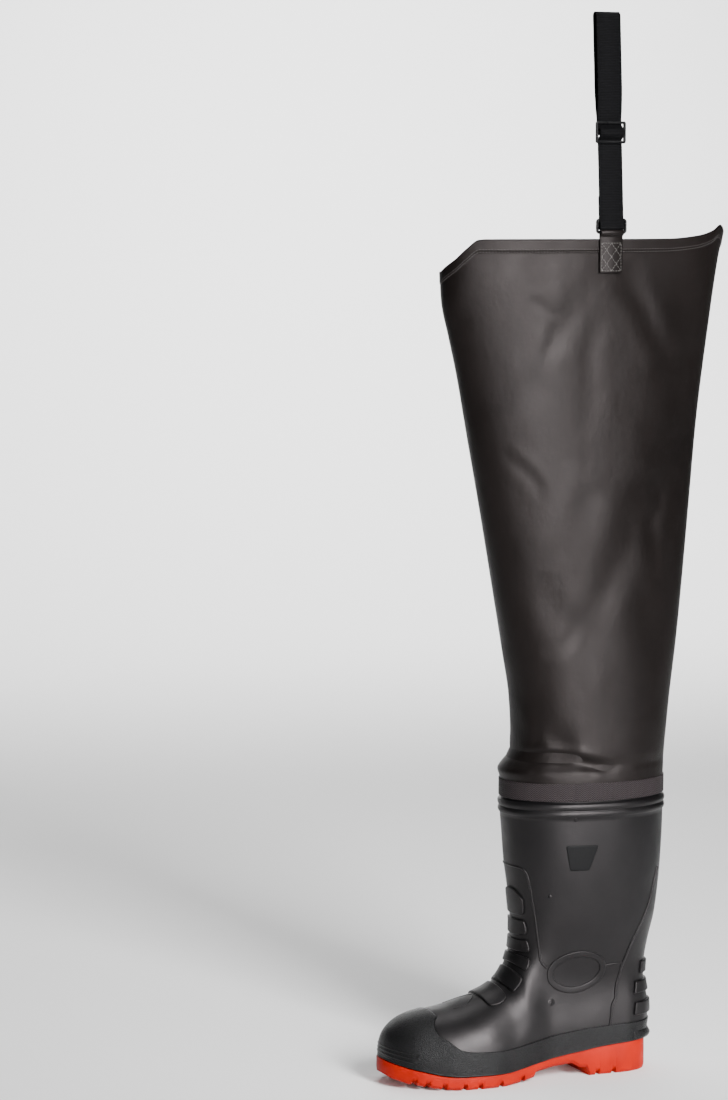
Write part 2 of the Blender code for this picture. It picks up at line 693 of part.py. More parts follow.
def leg_fold(along, rise, side):
    """Return how deep the folds press in the leg's side."""
    deep = 0.0
    for fold in FOLDS:
        if fold.side != side:
            continue
        run = along - fold.along
        reach = run / fold.length
        off = (rise - fold.rise - fold.slope * 0.1 * run) / (0.35 * fold.width)
        deep += fold.depth * LEG_TOP_WIDTH * math.exp(-off * off) * max(0.0, 1.0 - reach * reach) ** 2
    return deep * smoothstep(1.0 - abs(along), 0.0, 0.25)


def make_leg(collection):
    rise_of_hem = 1.0 - HEM_DEPTH / (LEG_HEIGHT - LEG_BOTTOM)
    hem_step = HEM_STEP / (LEG_HEIGHT - LEG_BOTTOM)
    outer = [ring(leg_point, rise, 0.0, COLUMNS) for rise in LEG_LEVELS]
    outer.append(ring(leg_point, rise_of_hem, 0.0, COLUMNS))
    outer.append(ring(leg_point, rise_of_hem + hem_step, HEM_STEP, COLUMNS))
    outer.append(ring(leg_point, 1.0, HEM_STEP, COLUMNS))
    inner_levels = (1.0,) + tuple(reversed(LEG_LEVELS))
    inner = [ring(leg_point, rise, -LEG_WALL, COLUMNS) for rise in inner_levels]
    finish = material("Coated fabric", (0.030, 0.026, 0.025), 0.48)
    return add_object("leg_sleeve", loft("leg_sleeve", outer + inner, closed=True), collection, finish)


def make_tape(collection):
    """Make the tape round the join of leg and boot, a little higher towards its overlapped end."""
    height = LEG_HEIGHT - LEG_BOTTOM
    low = CLEARANCE / height
    high = low + TAPE_HEIGHT / height
    near = CLEARANCE
    far = CLEARANCE + TAPE_THICKNESS
    rings = [ring(leg_point, rise, distance, COLUMNS)
             for rise, distance in ((low, near), (low, far), (0.5 * (low + high), far), (high, far),
                                    (high, near), (0.5 * (low + high), near))]
    finish = material("Woven tape", (0.022, 0.021, 0.022), 0.8)
    return add_object("seam_tape", loft("seam_tape", rings, closed=True), collection, finish)


def ribbon(name, path, width, thickness, middle_x):
    """Return a strip whose path is given as (y, z) points, across X at the given middle."""
    rings = []
    for i, (y, z) in enumerate(path):
        before = path[max(i - 1, 0)]
        after = path[min(i + 1, len(path) - 1)]
        run = Vector((after[0] - before[0], after[1] - before[1])).normalized()
        out = Vector((-run.y, run.x)) * 0.5 * thickness
        x = middle_x(z)
        rings.append([(x - 0.5 * width, y + out.x, z + out.y), (x + 0.5 * width, y + out.x, z + out.y),
                      (x + 0.5 * width, y - out.x, z - out.y), (x - 0.5 * width, y - out.x, z - out.y)])
    return loft(name, rings)


def arc(y, z, radius, start, end, steps=8):
    """Return points of an arc in the (y, z) plane, its angles in degrees from +Y towards +Z."""
    angles = [math.radians(blend(start, end, i / steps)) for i in range(steps + 1)]
    return [(y + radius * math.cos(angle), z + radius * math.sin(angle)) for angle in angles]


def strap_x(z):
    return LEG_X + STRAP_X + STRAP_LEAN * (z - LEG_HEIGHT)


def wrap_radius(thickness):
    """Return the radius at which the middle of a strip goes round the ring's wire."""
    return 0.5 * RING_WIRE + CLEARANCE + 0.5 * thickness


def tab_plane():
    """Return the y of the tab's layer that lies on the leg."""
    surface = -0.5 * LEG_TOP_WIDTH - HEM_STEP
    return surface - CLEARANCE - 0.5 * TAB_THICKNESS


def ring_place():
    """Return the y of the ring and the heights of its lower and upper bar."""
    low = LEG_HEIGHT + RING_RISE
    return tab_plane() - wrap_radius(TAB_THICKNESS), low, low + RING_HEIGHT - RING_WIRE


def make_tab(collection):
    """Make the strip folded over the ring's lower bar, both its layers outside the leg."""
    y, low, _ = ring_place()
    wrap = wrap_radius(TAB_THICKNESS)
    back = tab_plane()
    front = back - TAB_THICKNESS - CLEARANCE
    bottom = LEG_HEIGHT - TAB_LENGTH
    path = [(back, bottom), (back, LEG_HEIGHT - 0.3 * TAB_LENGTH), (back, low - wrap)]
    path += arc(y, low, wrap, 0.0, 180.0 + WRAP_ANGLE, 10)
    path += [(front, low - 1.9 * wrap), (front, LEG_HEIGHT - 0.5 * TAB_LENGTH), (front, bottom)]
    finish = material("Tab fabric", (0.028, 0.026, 0.026), 0.55)
    mesh = ribbon("hanger_tab", path, TAB_WIDTH, TAB_THICKNESS, lambda z: strap_x(LEG_HEIGHT))
    return add_object("hanger_tab", mesh, collection, finish)


def make_ring(collection):
    """Make the rectangular ring as a bent wire."""
    y, low, high = ring_place()
    half = 0.5 * WEBBING_WIDTH + SIDE_ROOM + 0.5 * RING_WIRE
    corner = SIDE_ROOM + 0.5 * RING_WIRE
    points = []
    for quarter, (side, z) in enumerate(((1, low), (1, high), (-1, high), (-1, low))):
        across = side * (half - corner)
        middle = z + (corner if z == low else -corner)
        for i in range(4):
            angle = math.pi * (quarter - 1) / 2.0 + math.pi / 2.0 * i / 3.0
            points.append((across + corner * math.cos(angle), middle + corner * math.sin(angle)))
    curve = bpy.data.curves.new("strap_ring", "CURVE")
    curve.dimensions = "3D"
    curve.bevel_depth = 0.5 * RING_WIRE
    curve.bevel_resolution = 2
    spline = curve.splines.new("POLY")
    spline.points.add(len(points) - 1)
    middle_x = strap_x(0.5 * (low + high))
    for point, (across, z) in zip(spline.points, points):
        point.co = (middle_x + across, y, z, 1.0)
    spline.use_cyclic_u = True
    finish = material("Black ring", (0.01, 0.01, 0.01), 0.2)
    return add_object("strap_ring", curve, collection, finish)


def box(name, size, place, collection, finish=None):
    mesh = bpy.data.meshes.new(name)
    sheet = bmesh.new()
    bmesh.ops.create_cube(sheet, size=1.0)
    bmesh.ops.scale(sheet, vec=size, verts=sheet.verts)
    sheet.to_mesh(mesh)
    sheet.free()
    made = add_object(name, mesh, collection, finish)
    made.location = place
    return made


def slider_aside():
    """Return how far a layer's middle stands from the middle of the slider's bar that it wraps."""
    corner = math.hypot(0.5 * SLIDER_BAR, 0.5 * SLIDER_THICKNESS)
    return corner + CLEARANCE + 0.5 * WEBBING_THICKNESS


def strap_plane():
    """Return the y of the strap's front layer above the ring."""
    y, _, _ = ring_place()
    return y - 0.5 * WEBBING_THICKNESS


def slider_y():
    """Return the y of the slider's plane, which the strap passes behind."""
    return strap_plane() - slider_aside()


def make_slider(collection, cutters):
    """Make the three-bar slider, a plate with two windows."""
    place = (strap_x(SLIDER_Z), slider_y(), SLIDER_Z)
    width = WEBBING_WIDTH + 2.0 * SIDE_ROOM + 2.0 * SLIDER_BAR
    finish = material("Black slider", (0.01, 0.01, 0.01), 0.25)
    plate = box("strap_slider", (width, SLIDER_THICKNESS, SLIDER_HEIGHT), place, collection, finish)
    edges = plate.modifiers.new("Rounded edges", "BEVEL")
    edges.width = 0.25 * SLIDER_BAR
    edges.segments = 2
    window = 0.5 * (SLIDER_HEIGHT - 3.0 * SLIDER_BAR)
    for side in (-1, 1):
        middle = SLIDER_Z + side * 0.5 * (SLIDER_BAR + window)
        slot = box("Window %d" % side, (WEBBING_WIDTH + 2.0 * SIDE_ROOM, 4.0 * SLIDER_THICKNESS, window),
                   (place[0], place[1], middle), cutters)
        boolean(plate, slot, "DIFFERENCE")
    return plate


def ring_wrap_path():
    """Return the webbing's path from its sewn tail round the ring's upper bar."""
    y, _, bar = ring_place()
    wrap = wrap_radius(WEBBING_THICKNESS)
    front = strap_plane()
    tail = front + WEBBING_THICKNESS + CLEARANCE
    path = [(tail, bar + TAIL_LENGTH), (tail, bar + 1.5 * wrap)]
    path += arc(y, bar, wrap, WRAP_ANGLE, -180.0 - WRAP_ANGLE, 12)
    return path + [(front, bar + 1.5 * wrap), (front, bar + TAIL_LENGTH)]


def slider_pass_path():
    """Return the path upwards behind the lower bar, over the middle bar and behind the upper bar."""
    middle = slider_y()
    layer = WEBBING_THICKNESS + CLEARANCE
    behind = middle + slider_aside() + 0.1 * layer
    outer_edge = 0.5 * SLIDER_HEIGHT
    inner_edge = outer_edge - SLIDER_BAR
    rising = [(behind, SLIDER_Z - 1.05 * outer_edge), (behind, SLIDER_Z - inner_edge + CLEARANCE)]
    over = arc(middle, SLIDER_Z, slider_aside() + layer, 180.0 + PASS_ANGLE, 180.0 - PASS_ANGLE)
    return rising + over + [(behind, 2.0 * SLIDER_Z - z) for _, z in reversed(rising)]


def belt_loop_path():
    """Return the path of the open belt loop and of its end, sewn round the middle bar."""
    middle = slider_y()
    layer = WEBBING_THICKNESS + CLEARANCE
    behind = middle + slider_aside() + 0.1 * layer
    outer_edge = 0.5 * SLIDER_HEIGHT
    front = behind - 0.5 * BELT_LOOP_GAP
    back = front + BELT_LOOP_GAP + WEBBING_THICKNESS
    radius = 0.5 * (back - front)
    top = STRAP_TOP - radius - 0.5 * WEBBING_THICKNESS
    rise = top - SLIDER_Z
    path = [(blend(behind, front, 0.5), SLIDER_Z + 0.20 * rise), (front, SLIDER_Z + 0.40 * rise),
            (front, SLIDER_Z + 0.80 * rise)]
    path += arc(front + radius, top, radius, 180.0, 0.0)
    rear = behind + 1.1 * layer
    path += [(back, SLIDER_Z + 0.80 * rise), (back, SLIDER_Z + 0.40 * rise),
             (blend(rear, back, 0.5), SLIDER_Z + 0.20 * rise), (rear, SLIDER_Z + 1.05 * outer_edge),
             (rear, SLIDER_Z + 0.7 * outer_edge)]
    return path + arc(middle, SLIDER_Z, slider_aside(), 15.0, -180.0)


def strap_path():
    """Return the webbing's whole path, one strip from its tail to the slider's middle bar."""
    front = strap_plane()
    return ring_wrap_path() + [(front, SLIDER_Z - 0.8 * SLIDER_HEIGHT)] + slider_pass_path() + belt_loop_path()


def make_strap(collection):
    mesh = ribbon("webbing_strap", strap_path(), WEBBING_WIDTH, WEBBING_THICKNESS, strap_x)
    finish = material("Black webbing", (0.012, 0.012, 0.014), 0.75)
    return add_object("webbing_strap", mesh, collection, finish)


def new_collection(name):
    made = bpy.data.collections.new(name)
    bpy.context.scene.collection.children.link(made)
    return made


def main():
    for old in list(bpy.data.objects):
        bpy.data.objects.remove(old, do_unlink=True)
    parts = new_collection("Hip wader")
    cutters = new_collection("Cutters")
    make_outsole(parts)
    make_insole(parts)
    make_upper(parts, cutters)
    make_leg(parts)
    make_tape(parts)
    make_tab(parts)
    make_ring(parts)
    make_slider(parts, cutters)
    make_strap(parts)


main()
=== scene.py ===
"""Looks of the left hip wader: its boot, sole, fabric leg, hanger strap and the stage they stand on.

The toe points along -X, the outer side is -Y and the ground is z = 0. Sizes are in metres, and a
table's lengths are shares of the named sizes that its comment gives.
"""

import math
from collections import namedtuple

import bmesh
import bpy
import numpy as np
from bpy.props import FloatProperty, FloatVectorProperty, PointerProperty
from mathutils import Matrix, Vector


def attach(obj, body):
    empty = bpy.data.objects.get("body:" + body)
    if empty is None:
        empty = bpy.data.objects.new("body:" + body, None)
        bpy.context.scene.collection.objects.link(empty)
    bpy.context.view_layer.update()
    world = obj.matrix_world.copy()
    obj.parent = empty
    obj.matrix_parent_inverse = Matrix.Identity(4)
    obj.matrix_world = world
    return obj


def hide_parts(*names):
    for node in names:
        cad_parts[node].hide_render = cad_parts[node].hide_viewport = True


def table(fields, rows):
    """Return a table's rows with their numbers named."""
    row = namedtuple("Row", fields)
    return tuple(row(*numbers) for numbers in rows)


bl_info = {
    "name": "Hip wader",
    "version": (1, 0, 0),
    "blender": (4, 5, 0),
    "location": "View3D > Sidebar > Wader",
    "description": "Models and paints a left hip wader round its packed frame",
    "category": "Object",
}

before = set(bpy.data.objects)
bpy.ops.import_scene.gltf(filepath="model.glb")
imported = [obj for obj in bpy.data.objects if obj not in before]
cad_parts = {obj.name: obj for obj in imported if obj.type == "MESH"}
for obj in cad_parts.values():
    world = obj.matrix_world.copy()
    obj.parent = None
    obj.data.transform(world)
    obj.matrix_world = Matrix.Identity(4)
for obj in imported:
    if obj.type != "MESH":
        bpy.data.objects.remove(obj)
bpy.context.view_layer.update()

OUTER, INNER = -1, 1
FULL_TURN = 2.0 * math.pi
CLEARANCE = 0.0003

# Outsole
OUTSOLE_LENGTH = 0.298
BALL_WIDTH = 0.110
HEEL_HEIGHT = 0.033
HEEL_MIDDLE = 0.12          # share of the outsole's length from the heel's back to the origin
TOE_SWING = 0.010           # how far the toe turns to the inner side
SWING_FROM = 0.45           # share of the outsole's length where it starts to turn
LUG_DEPTH = 0.0040
GROOVE_WIDTH = 0.0038
SIDE_BEVEL = 0.0035

# Boot
INSTEP_HEIGHT = 0.100
BOOT_HEIGHT = 0.294
COLLAR_LENGTH = 0.181
COLLAR_WIDTH = 0.124
LEG_AXIS_REACH = 0.0735     # from the heel's back to the leg's axis
BOOT_WALL = 0.0026
UPPER_INSET = 0.0010        # how far the upper stands inside the outsole's edge
RAND_STEP = 0.0015
SPUR_STEP = 0.0060
BEAD_STEP = 0.0019
NECK_HEIGHT = 0.012         # plain rim above the beads, inside the leg

# Leg
LEG_HEIGHT = 0.880
LEG_TOP_LENGTH = 0.326
LEG_TOP_WIDTH = 0.096
LEG_WALL = 0.0010
HEM_DEPTH = 0.012
HEM_STEP = 0.0005
RIM_DROP = 0.033            # how far the rim falls at the front fold
TAPE_ABOVE = 0.0030         # from the boot's collar line to the leg's lower edge
TAPE_HEIGHT = 0.0185
TAPE_THICKNESS = 0.0008

# Insole, strap and its fittings
INSOLE_THICKNESS = 0.004
WEBBING_WIDTH = 0.0275
WEBBING_THICKNESS = 0.0012
STRAP_RISE = 0.233          # from the leg's rim to the top of the belt loop
STRAP_LEAN = -0.031         # sideways run of the strap for each unit of height
STRAP_X = 0.0088            # from the leg's axis to the middle of the strap at the ring
BELT_LOOP_GAP = 0.0070
TAIL_LENGTH = 0.024
TAB_WIDTH = 0.026
TAB_THICKNESS = 0.0012
TAB_LENGTH = 0.034          # how far the tab reaches below the rim
RING_HEIGHT = 0.0160
RING_WIRE = 0.0032
RING_RISE = 0.0075          # from the rim to the middle of the ring's lower bar
SLIDER_HEIGHT = 0.0227
SLIDER_THICKNESS = 0.0026
SLIDER_BAR = 0.0027
SLIDER_RISE = 0.110         # from the leg's rim to the middle of the slider

INSET_FROM = 0.25           # share of BALL_WIDTH below which an inset shrinks with the half-width
UPPER_SEAT = 0.0006         # from the outsole up to the upper, whose long facets bridge its curve
INSOLE_CLEARANCE = 0.0020
SIDE_ROOM = 0.0006          # between webbing and the sides of its ring or slider
WRAP_ANGLE = 50.0           # how far past a half turn a strip hugs the ring, in degrees
PASS_ANGLE = 55.0           # how far each way the strap hugs the end on the slider's middle bar

HEEL_BACK_X = HEEL_MIDDLE * OUTSOLE_LENGTH
LEG_X = HEEL_BACK_X - LEG_AXIS_REACH
NECK_TOP = BOOT_HEIGHT + NECK_HEIGHT
LEG_BOTTOM = BOOT_HEIGHT + TAPE_ABOVE
LEG_SPAN = LEG_HEIGHT - LEG_BOTTOM
STRAP_TOP = LEG_HEIGHT + STRAP_RISE
SLIDER_Z = LEG_HEIGHT + SLIDER_RISE
WALL_SHARE = 0.57           # share of INSTEP_HEIGHT up to which the foot's wall follows the sole
FOOT_WALL = WALL_SHARE * INSTEP_HEIGHT

# Outline of the outsole: along is a share of OUTSOLE_LENGTH from the heel's back,
# outer and inner are half-widths as shares of BALL_WIDTH
PLAN = table("along outer inner", (
    (0.0, 0.0, 0.0), (0.02, 0.19, 0.185), (0.06, 0.295, 0.29), (0.13, 0.345, 0.345),
    (0.24, 0.345, 0.335), (0.4, 0.35, 0.29), (0.55, 0.44, 0.345), (0.68, 0.525, 0.44),
    (0.77, 0.525, 0.465), (0.86, 0.47, 0.44), (0.93, 0.37, 0.35), (0.97, 0.255, 0.245),
    (1.0, 0.0, 0.0),
))

# Side view of the outsole: heights of its top edge and its tread as shares of HEEL_HEIGHT
SOLE = table("along top tread", (
    (0.0, 1.03, 0.06), (0.025, 1.01, 0.0), (0.16, 0.95, 0.0), (0.258, 0.86, 0.0), (0.27, 0.84, 0.28),
    (0.295, 0.81, 0.29), (0.326, 0.78, 0.46), (0.396, 0.69, 0.41), (0.472, 0.58, 0.31),
    (0.482, 0.57, 0.15), (0.525, 0.51, 0.07), (0.6, 0.42, 0.0), (0.76, 0.42, 0.0),
    (0.836, 0.48, 0.06), (0.897, 0.6, 0.15), (0.944, 0.7, 0.22), (0.979, 0.785, 0.31),
    (1.0, 0.86, 0.42),
))
GROOVES = (0.164, 0.228, 0.532, 0.622, 0.703, 0.760, 0.830, 0.884, 0.924)
FOREFOOT_LUGS = (0.49, 0.96)
# Columns across the tread as shares of the half-width; the pairs in the middle drop into two channels
TREAD_COLUMNS = (-1.0, -0.93, -0.34, -0.31, -0.23, -0.20, 0.20, 0.23, 0.31, 0.34, 0.93, 1.0)
CHANNEL_COLUMNS = (-0.31, -0.23, 0.23, 0.31)

# Crest of the foot: height as a share of INSTEP_HEIGHT, reach from the heel's back as a share of
# OUTSOLE_LENGTH
CREST = table("height reach", (
    (0.2, 0.9925), (0.34, 0.9915), (0.45, 0.9866), (0.52, 0.979), (0.57, 0.968), (0.63, 0.945),
    (0.69, 0.911), (0.735, 0.864), (0.765, 0.815), (0.797, 0.755), (0.847, 0.698), (0.901, 0.644),
    (0.962, 0.6), (1.056, 0.558), (1.2, 0.528), (1.4, 0.508),
))

# Shaft above the instep: height as a share of BOOT_HEIGHT, front and back as shares of COLLAR_LENGTH
# from the leg's axis, width as a half-width share of COLLAR_WIDTH
SHAFT = table("height front back width", (
    (0.07, 0.0, 0.398, 0.345), (0.15, 0.0, 0.418, 0.345), (0.2, 0.0, 0.43, 0.345),
    (0.25, 0.0, 0.427, 0.345), (0.29, 0.0, 0.415, 0.345), (0.34, 0.0, 0.403, 0.352),
    (0.39, 0.0, 0.406, 0.37), (0.45, 0.0, 0.42, 0.393), (0.51, 0.0, 0.442, 0.412),
    (0.56, 0.423, 0.462, 0.43), (0.65, 0.434, 0.482, 0.448), (0.78, 0.461, 0.5, 0.476),
    (0.89, 0.475, 0.508, 0.492), (0.95, 0.483, 0.51, 0.497), (1.003, 0.487, 0.51, 0.5),
    (1.007, 0.477, 0.501, 0.49),
))
FRONT_ROWS_FROM = 0.55      # below this height share the crest gives the front

# Cross-sections: how square the vamp's dome and the shaft's oval are
DOME_RISE = 2.5
DOME_ROUND = 2.1
SHAFT_ROUND = 2.12
# Heights as shares of INSTEP_HEIGHT between which the foot turns into the shaft
FOOT_ENDS = 0.75
SHAFT_STARTS = 1.50
LID_SLOPE = 4.0             # how steeply the dome's height goes on behind the crest's last row
LID_GROWTH = 60.0

# Beads round the collar: height as a share of NECK_HEIGHT below (-) or above BOOT_HEIGHT, and
# how far the surface stands out as a share of BEAD_STEP
BEADS = table("height proud", (
    (-1.18, 0.0), (-1.12, 0.6), (-0.88, 1.0), (-0.65, 0.6), (-0.57, 0.15), (-0.49, 0.6), (-0.25, 1.0),
    (0.0, 0.6), (0.07, 0.0), (0.18, 0.0),
))

# Ankle oval, as shares of OUTSOLE_LENGTH: its place, its half-length and half-height
OVAL_ALONG = 0.309
OVAL_HEIGHT = 0.3765
OVAL_LENGTH = 0.112
OVAL_RISE = 0.077
OVAL_BAND = 0.0070
OVAL_TILT = math.radians(5.0)

# The leg between the collar and the rim: rise is a share of its height, and each other column is
# the share of the way from the collar's size to the rim's, past nought where it draws in
LEG = table("rise front back width", (
    (0.0, 0.0, 0.0, 0.0), (0.031, 0.0, 0.003, 0.0), (0.049, 0.035, 0.012, 0.0),
    (0.062, -0.027, 0.015, 0.12), (0.082, -0.158, 0.023, 0.08), (0.111, -0.16, 0.048, 0.1),
    (0.177, -0.13, 0.112, 0.17), (0.262, -0.018, 0.212, 0.26), (0.348, 0.103, 0.297, 0.34),
    (0.52, 0.349, 0.443, 0.51), (0.691, 0.605, 0.583, 0.69), (0.863, 0.842, 0.787, 0.86),
    (0.949, 0.948, 0.906, 0.95), (1.0, 0.966, 1.0, 1.0),
))
RIM_BLEND = 0.72            # rise above which the levels bend towards the rim's line
# Rim: around is a share of the half turn from the front fold to the back, outer and inner are that
# side's rise as shares of RIM_DROP
RIM = table("around outer inner", (
    (0.0, -1.0, -1.0), (0.1, -0.63, -1.0), (0.15, -0.3, -0.84), (0.2, 0.0, -0.6), (0.25, 0.0, -0.25),
    (0.3, 0.0, 0.0), (0.65, 0.02, 0.0), (0.75, 0.11, 0.01), (0.83, 0.29, 0.03), (0.88, 0.46, 0.07),
    (0.94, 0.27, 0.12), (1.0, 0.1, 0.1),
))
# Main folds of the leg: rise and along (share of its half-length from the middle, toe side
# negative), the length and width of the fold and its depth as shares of LEG_TOP_WIDTH, and the
# side of the leg that it is on
FOLDS = table("rise along slope length width depth side", (
    (0.063, -0.4, 0.0, 0.8, 0.05, 0.035, OUTER), (0.1, -0.62, -0.6, 0.25, 0.09, 0.04, OUTER),
    (0.3, -0.3, -1.2, 0.6, 0.15, 0.022, OUTER), (0.42, 0.05, 3.0, 0.7, 0.18, 0.02, OUTER),
    (0.56, 0.62, 2.4, 0.8, 0.2, 0.03, OUTER), (0.9, 0.42, -0.9, 0.6, 0.17, 0.04, OUTER),
    (0.2, 0.1, 1.6, 0.7, 0.16, 0.025, INNER), (0.5, -0.35, -1.5, 0.8, 0.2, 0.03, INNER),
    (0.8, 0.25, 1.3, 0.8, 0.2, 0.03, INNER),
))

# Fineness of the looks' surfaces
BOOT_COLUMNS = 288
RAND_COLUMNS = 560
LEG_COLUMNS = 288
SEARCH_STEPS = 40           # halvings that find a level to far below a micron
PROBE = 0.001               # step out of a surface that shows which way it faces
TURN_STEP = 0.02            # steps along a surface that give its slope
LEVEL_STEP = 0.0006
SOLE_STATIONS = 90
PAD_SUNK = 0.0012           # how far a raised pad reaches into the boot's wall
RIDGE_SUNK = 0.0002         # how far a ridge on the rand reaches into it
WELT_LEVEL = 0.0016         # how high above the sole's edge the welt runs
STRAP_SLACK = 0.0074        # how far the webbing's fold hangs below the ring's upper bar
ANKLE_WAIST = 0.16          # share by which the boot's sides draw in at the ankle
SPUR_TURN = 0.62            # half of the turn that the kick spur covers
BUMPER_TURN = 0.60          # half of the turn that the toe's ridges cover
BUMPER_RIDGE = 0.0022       # their width
WAIST_FROM, WAIST_HEIGHT, WAIST_TO = 0.045, 0.105, 0.2205
# Shares of OUTSOLE_LENGTH between which the waist grows from the heel and fades to the instep
WAIST_HEEL = (-0.06, 0.28)
WAIST_INSTEP = (0.38, 0.62)
HALF_GROOVE = 0.5 * GROOVE_WIDTH / OUTSOLE_LENGTH

CREASE_STEPS = 24
CREASE_RIDGE = 1.5          # from a crease's middle to the ridge beside it, in crease widths
FAR_RIDGE = 0.4             # how high the other side's ridge is, as a share of the near one's
LAP_STEPS = 14
LAP_RISE = 0.0007           # how far the tape's lap runs up where it ends
LAP_SHIFT = 0.0009          # how far its weave is set off from the tape's
HEM_ROWS = 0.0026           # between the hem's two rows of stitches
STITCH_SHARE = 0.62         # share of the hem's stitch pitch that the thread covers
TAB_STITCH_SHARE = 0.66
SEAM_INSET = 0.0020         # from the tab's edges to its stitches
SEAM_DROP = 0.0035          # from the leg's rim to the tab's upper stitches
BAR_SHARES = np.array([0.0, 0.25, 0.5, 0.75, 1.0])

# Upper edge of the toe cap and the rand: turn is a share of the half turn from the toe to the heel,
# and level a share of INSTEP_HEIGHT
LIP = table("turn level", (
    (0.0, 0.765), (0.08, 0.755), (0.167, 0.725), (0.228, 0.6), (0.278, 0.47), (0.306, 0.38),
    (0.328, 0.345), (0.367, 0.328), (0.42, 0.325), (0.49, 0.353), (0.57, 0.412), (0.65, 0.453),
    (0.735, 0.475), (0.85, 0.482), (1.0, 0.485),
))

# Shin ribs in side view: the end's corners from the lowest up, and the lower and upper height where
# the rib crosses the boot's front as shares of INSTEP_HEIGHT
SHIN_RIBS = table("end crest_low crest_high", (
    (((0.489, 1.738), (0.493, 1.88), (0.508, 1.985)), 1.728, 2.02),
    (((0.48, 1.54), (0.483, 1.61), (0.489, 1.685)), 1.511, 1.685),
    (((0.475, 1.345), (0.476, 1.41), (0.48, 1.482)), 1.346, 1.47),
    (((0.49, 1.152), (0.481, 1.215), (0.476, 1.282)), 1.225, 1.318),
    (((0.544, 0.938), (0.52, 1.01), (0.506, 1.088)), 1.025, 1.175),
    (((0.632, 0.81), (0.592, 0.838), (0.569, 0.892)), 0.895, 0.998),
))

# Blocks across the heel's back: where they end along the sole, and their lower and upper height
BACK_BLOCKS = table("along low high", (
    (0.048, 1.03, 1.165), (0.078, 0.83, 0.958), (0.082, 0.6, 0.74),
))

# Moulded lines in side view: corners as shares of OUTSOLE_LENGTH and INSTEP_HEIGHT, the ridge's
# width and how much of it stands out
PANEL_LINES = table("name corners crosses_front width proud", (
    ("shin_panel", ((0.52, 2.253), (0.508, 2.246), (0.499, 2.219), (0.49, 2.159), (0.482, 2.053),
      (0.464, 1.733), (0.449, 1.4), (0.445, 1.277), (0.435, 1.217), (0.421, 1.185)), True, 0.0024,
      0.4),
    ("counter", ((-0.008, 2.181), (0.012, 2.006), (0.027, 1.832), (0.054, 1.663), (0.085, 1.495),
      (0.11, 1.338), (0.121, 1.239), (0.135, 1.124), (0.149, 0.964), (0.161, 0.769), (0.174, 0.611),
      (0.183, 0.488)), False, 0.0032, 0.42),
    ("ankle_cross", ((0.222, 1.16), (0.196, 1.166), (0.169, 1.175), (0.13, 1.178)), False, 0.0022,
      0.38),
    ("vamp_edge", ((0.62, 0.939), (0.648, 0.9), (0.674, 0.862), (0.712, 0.81), (0.746, 0.786)),
      False, 0.0017, 0.3),
))

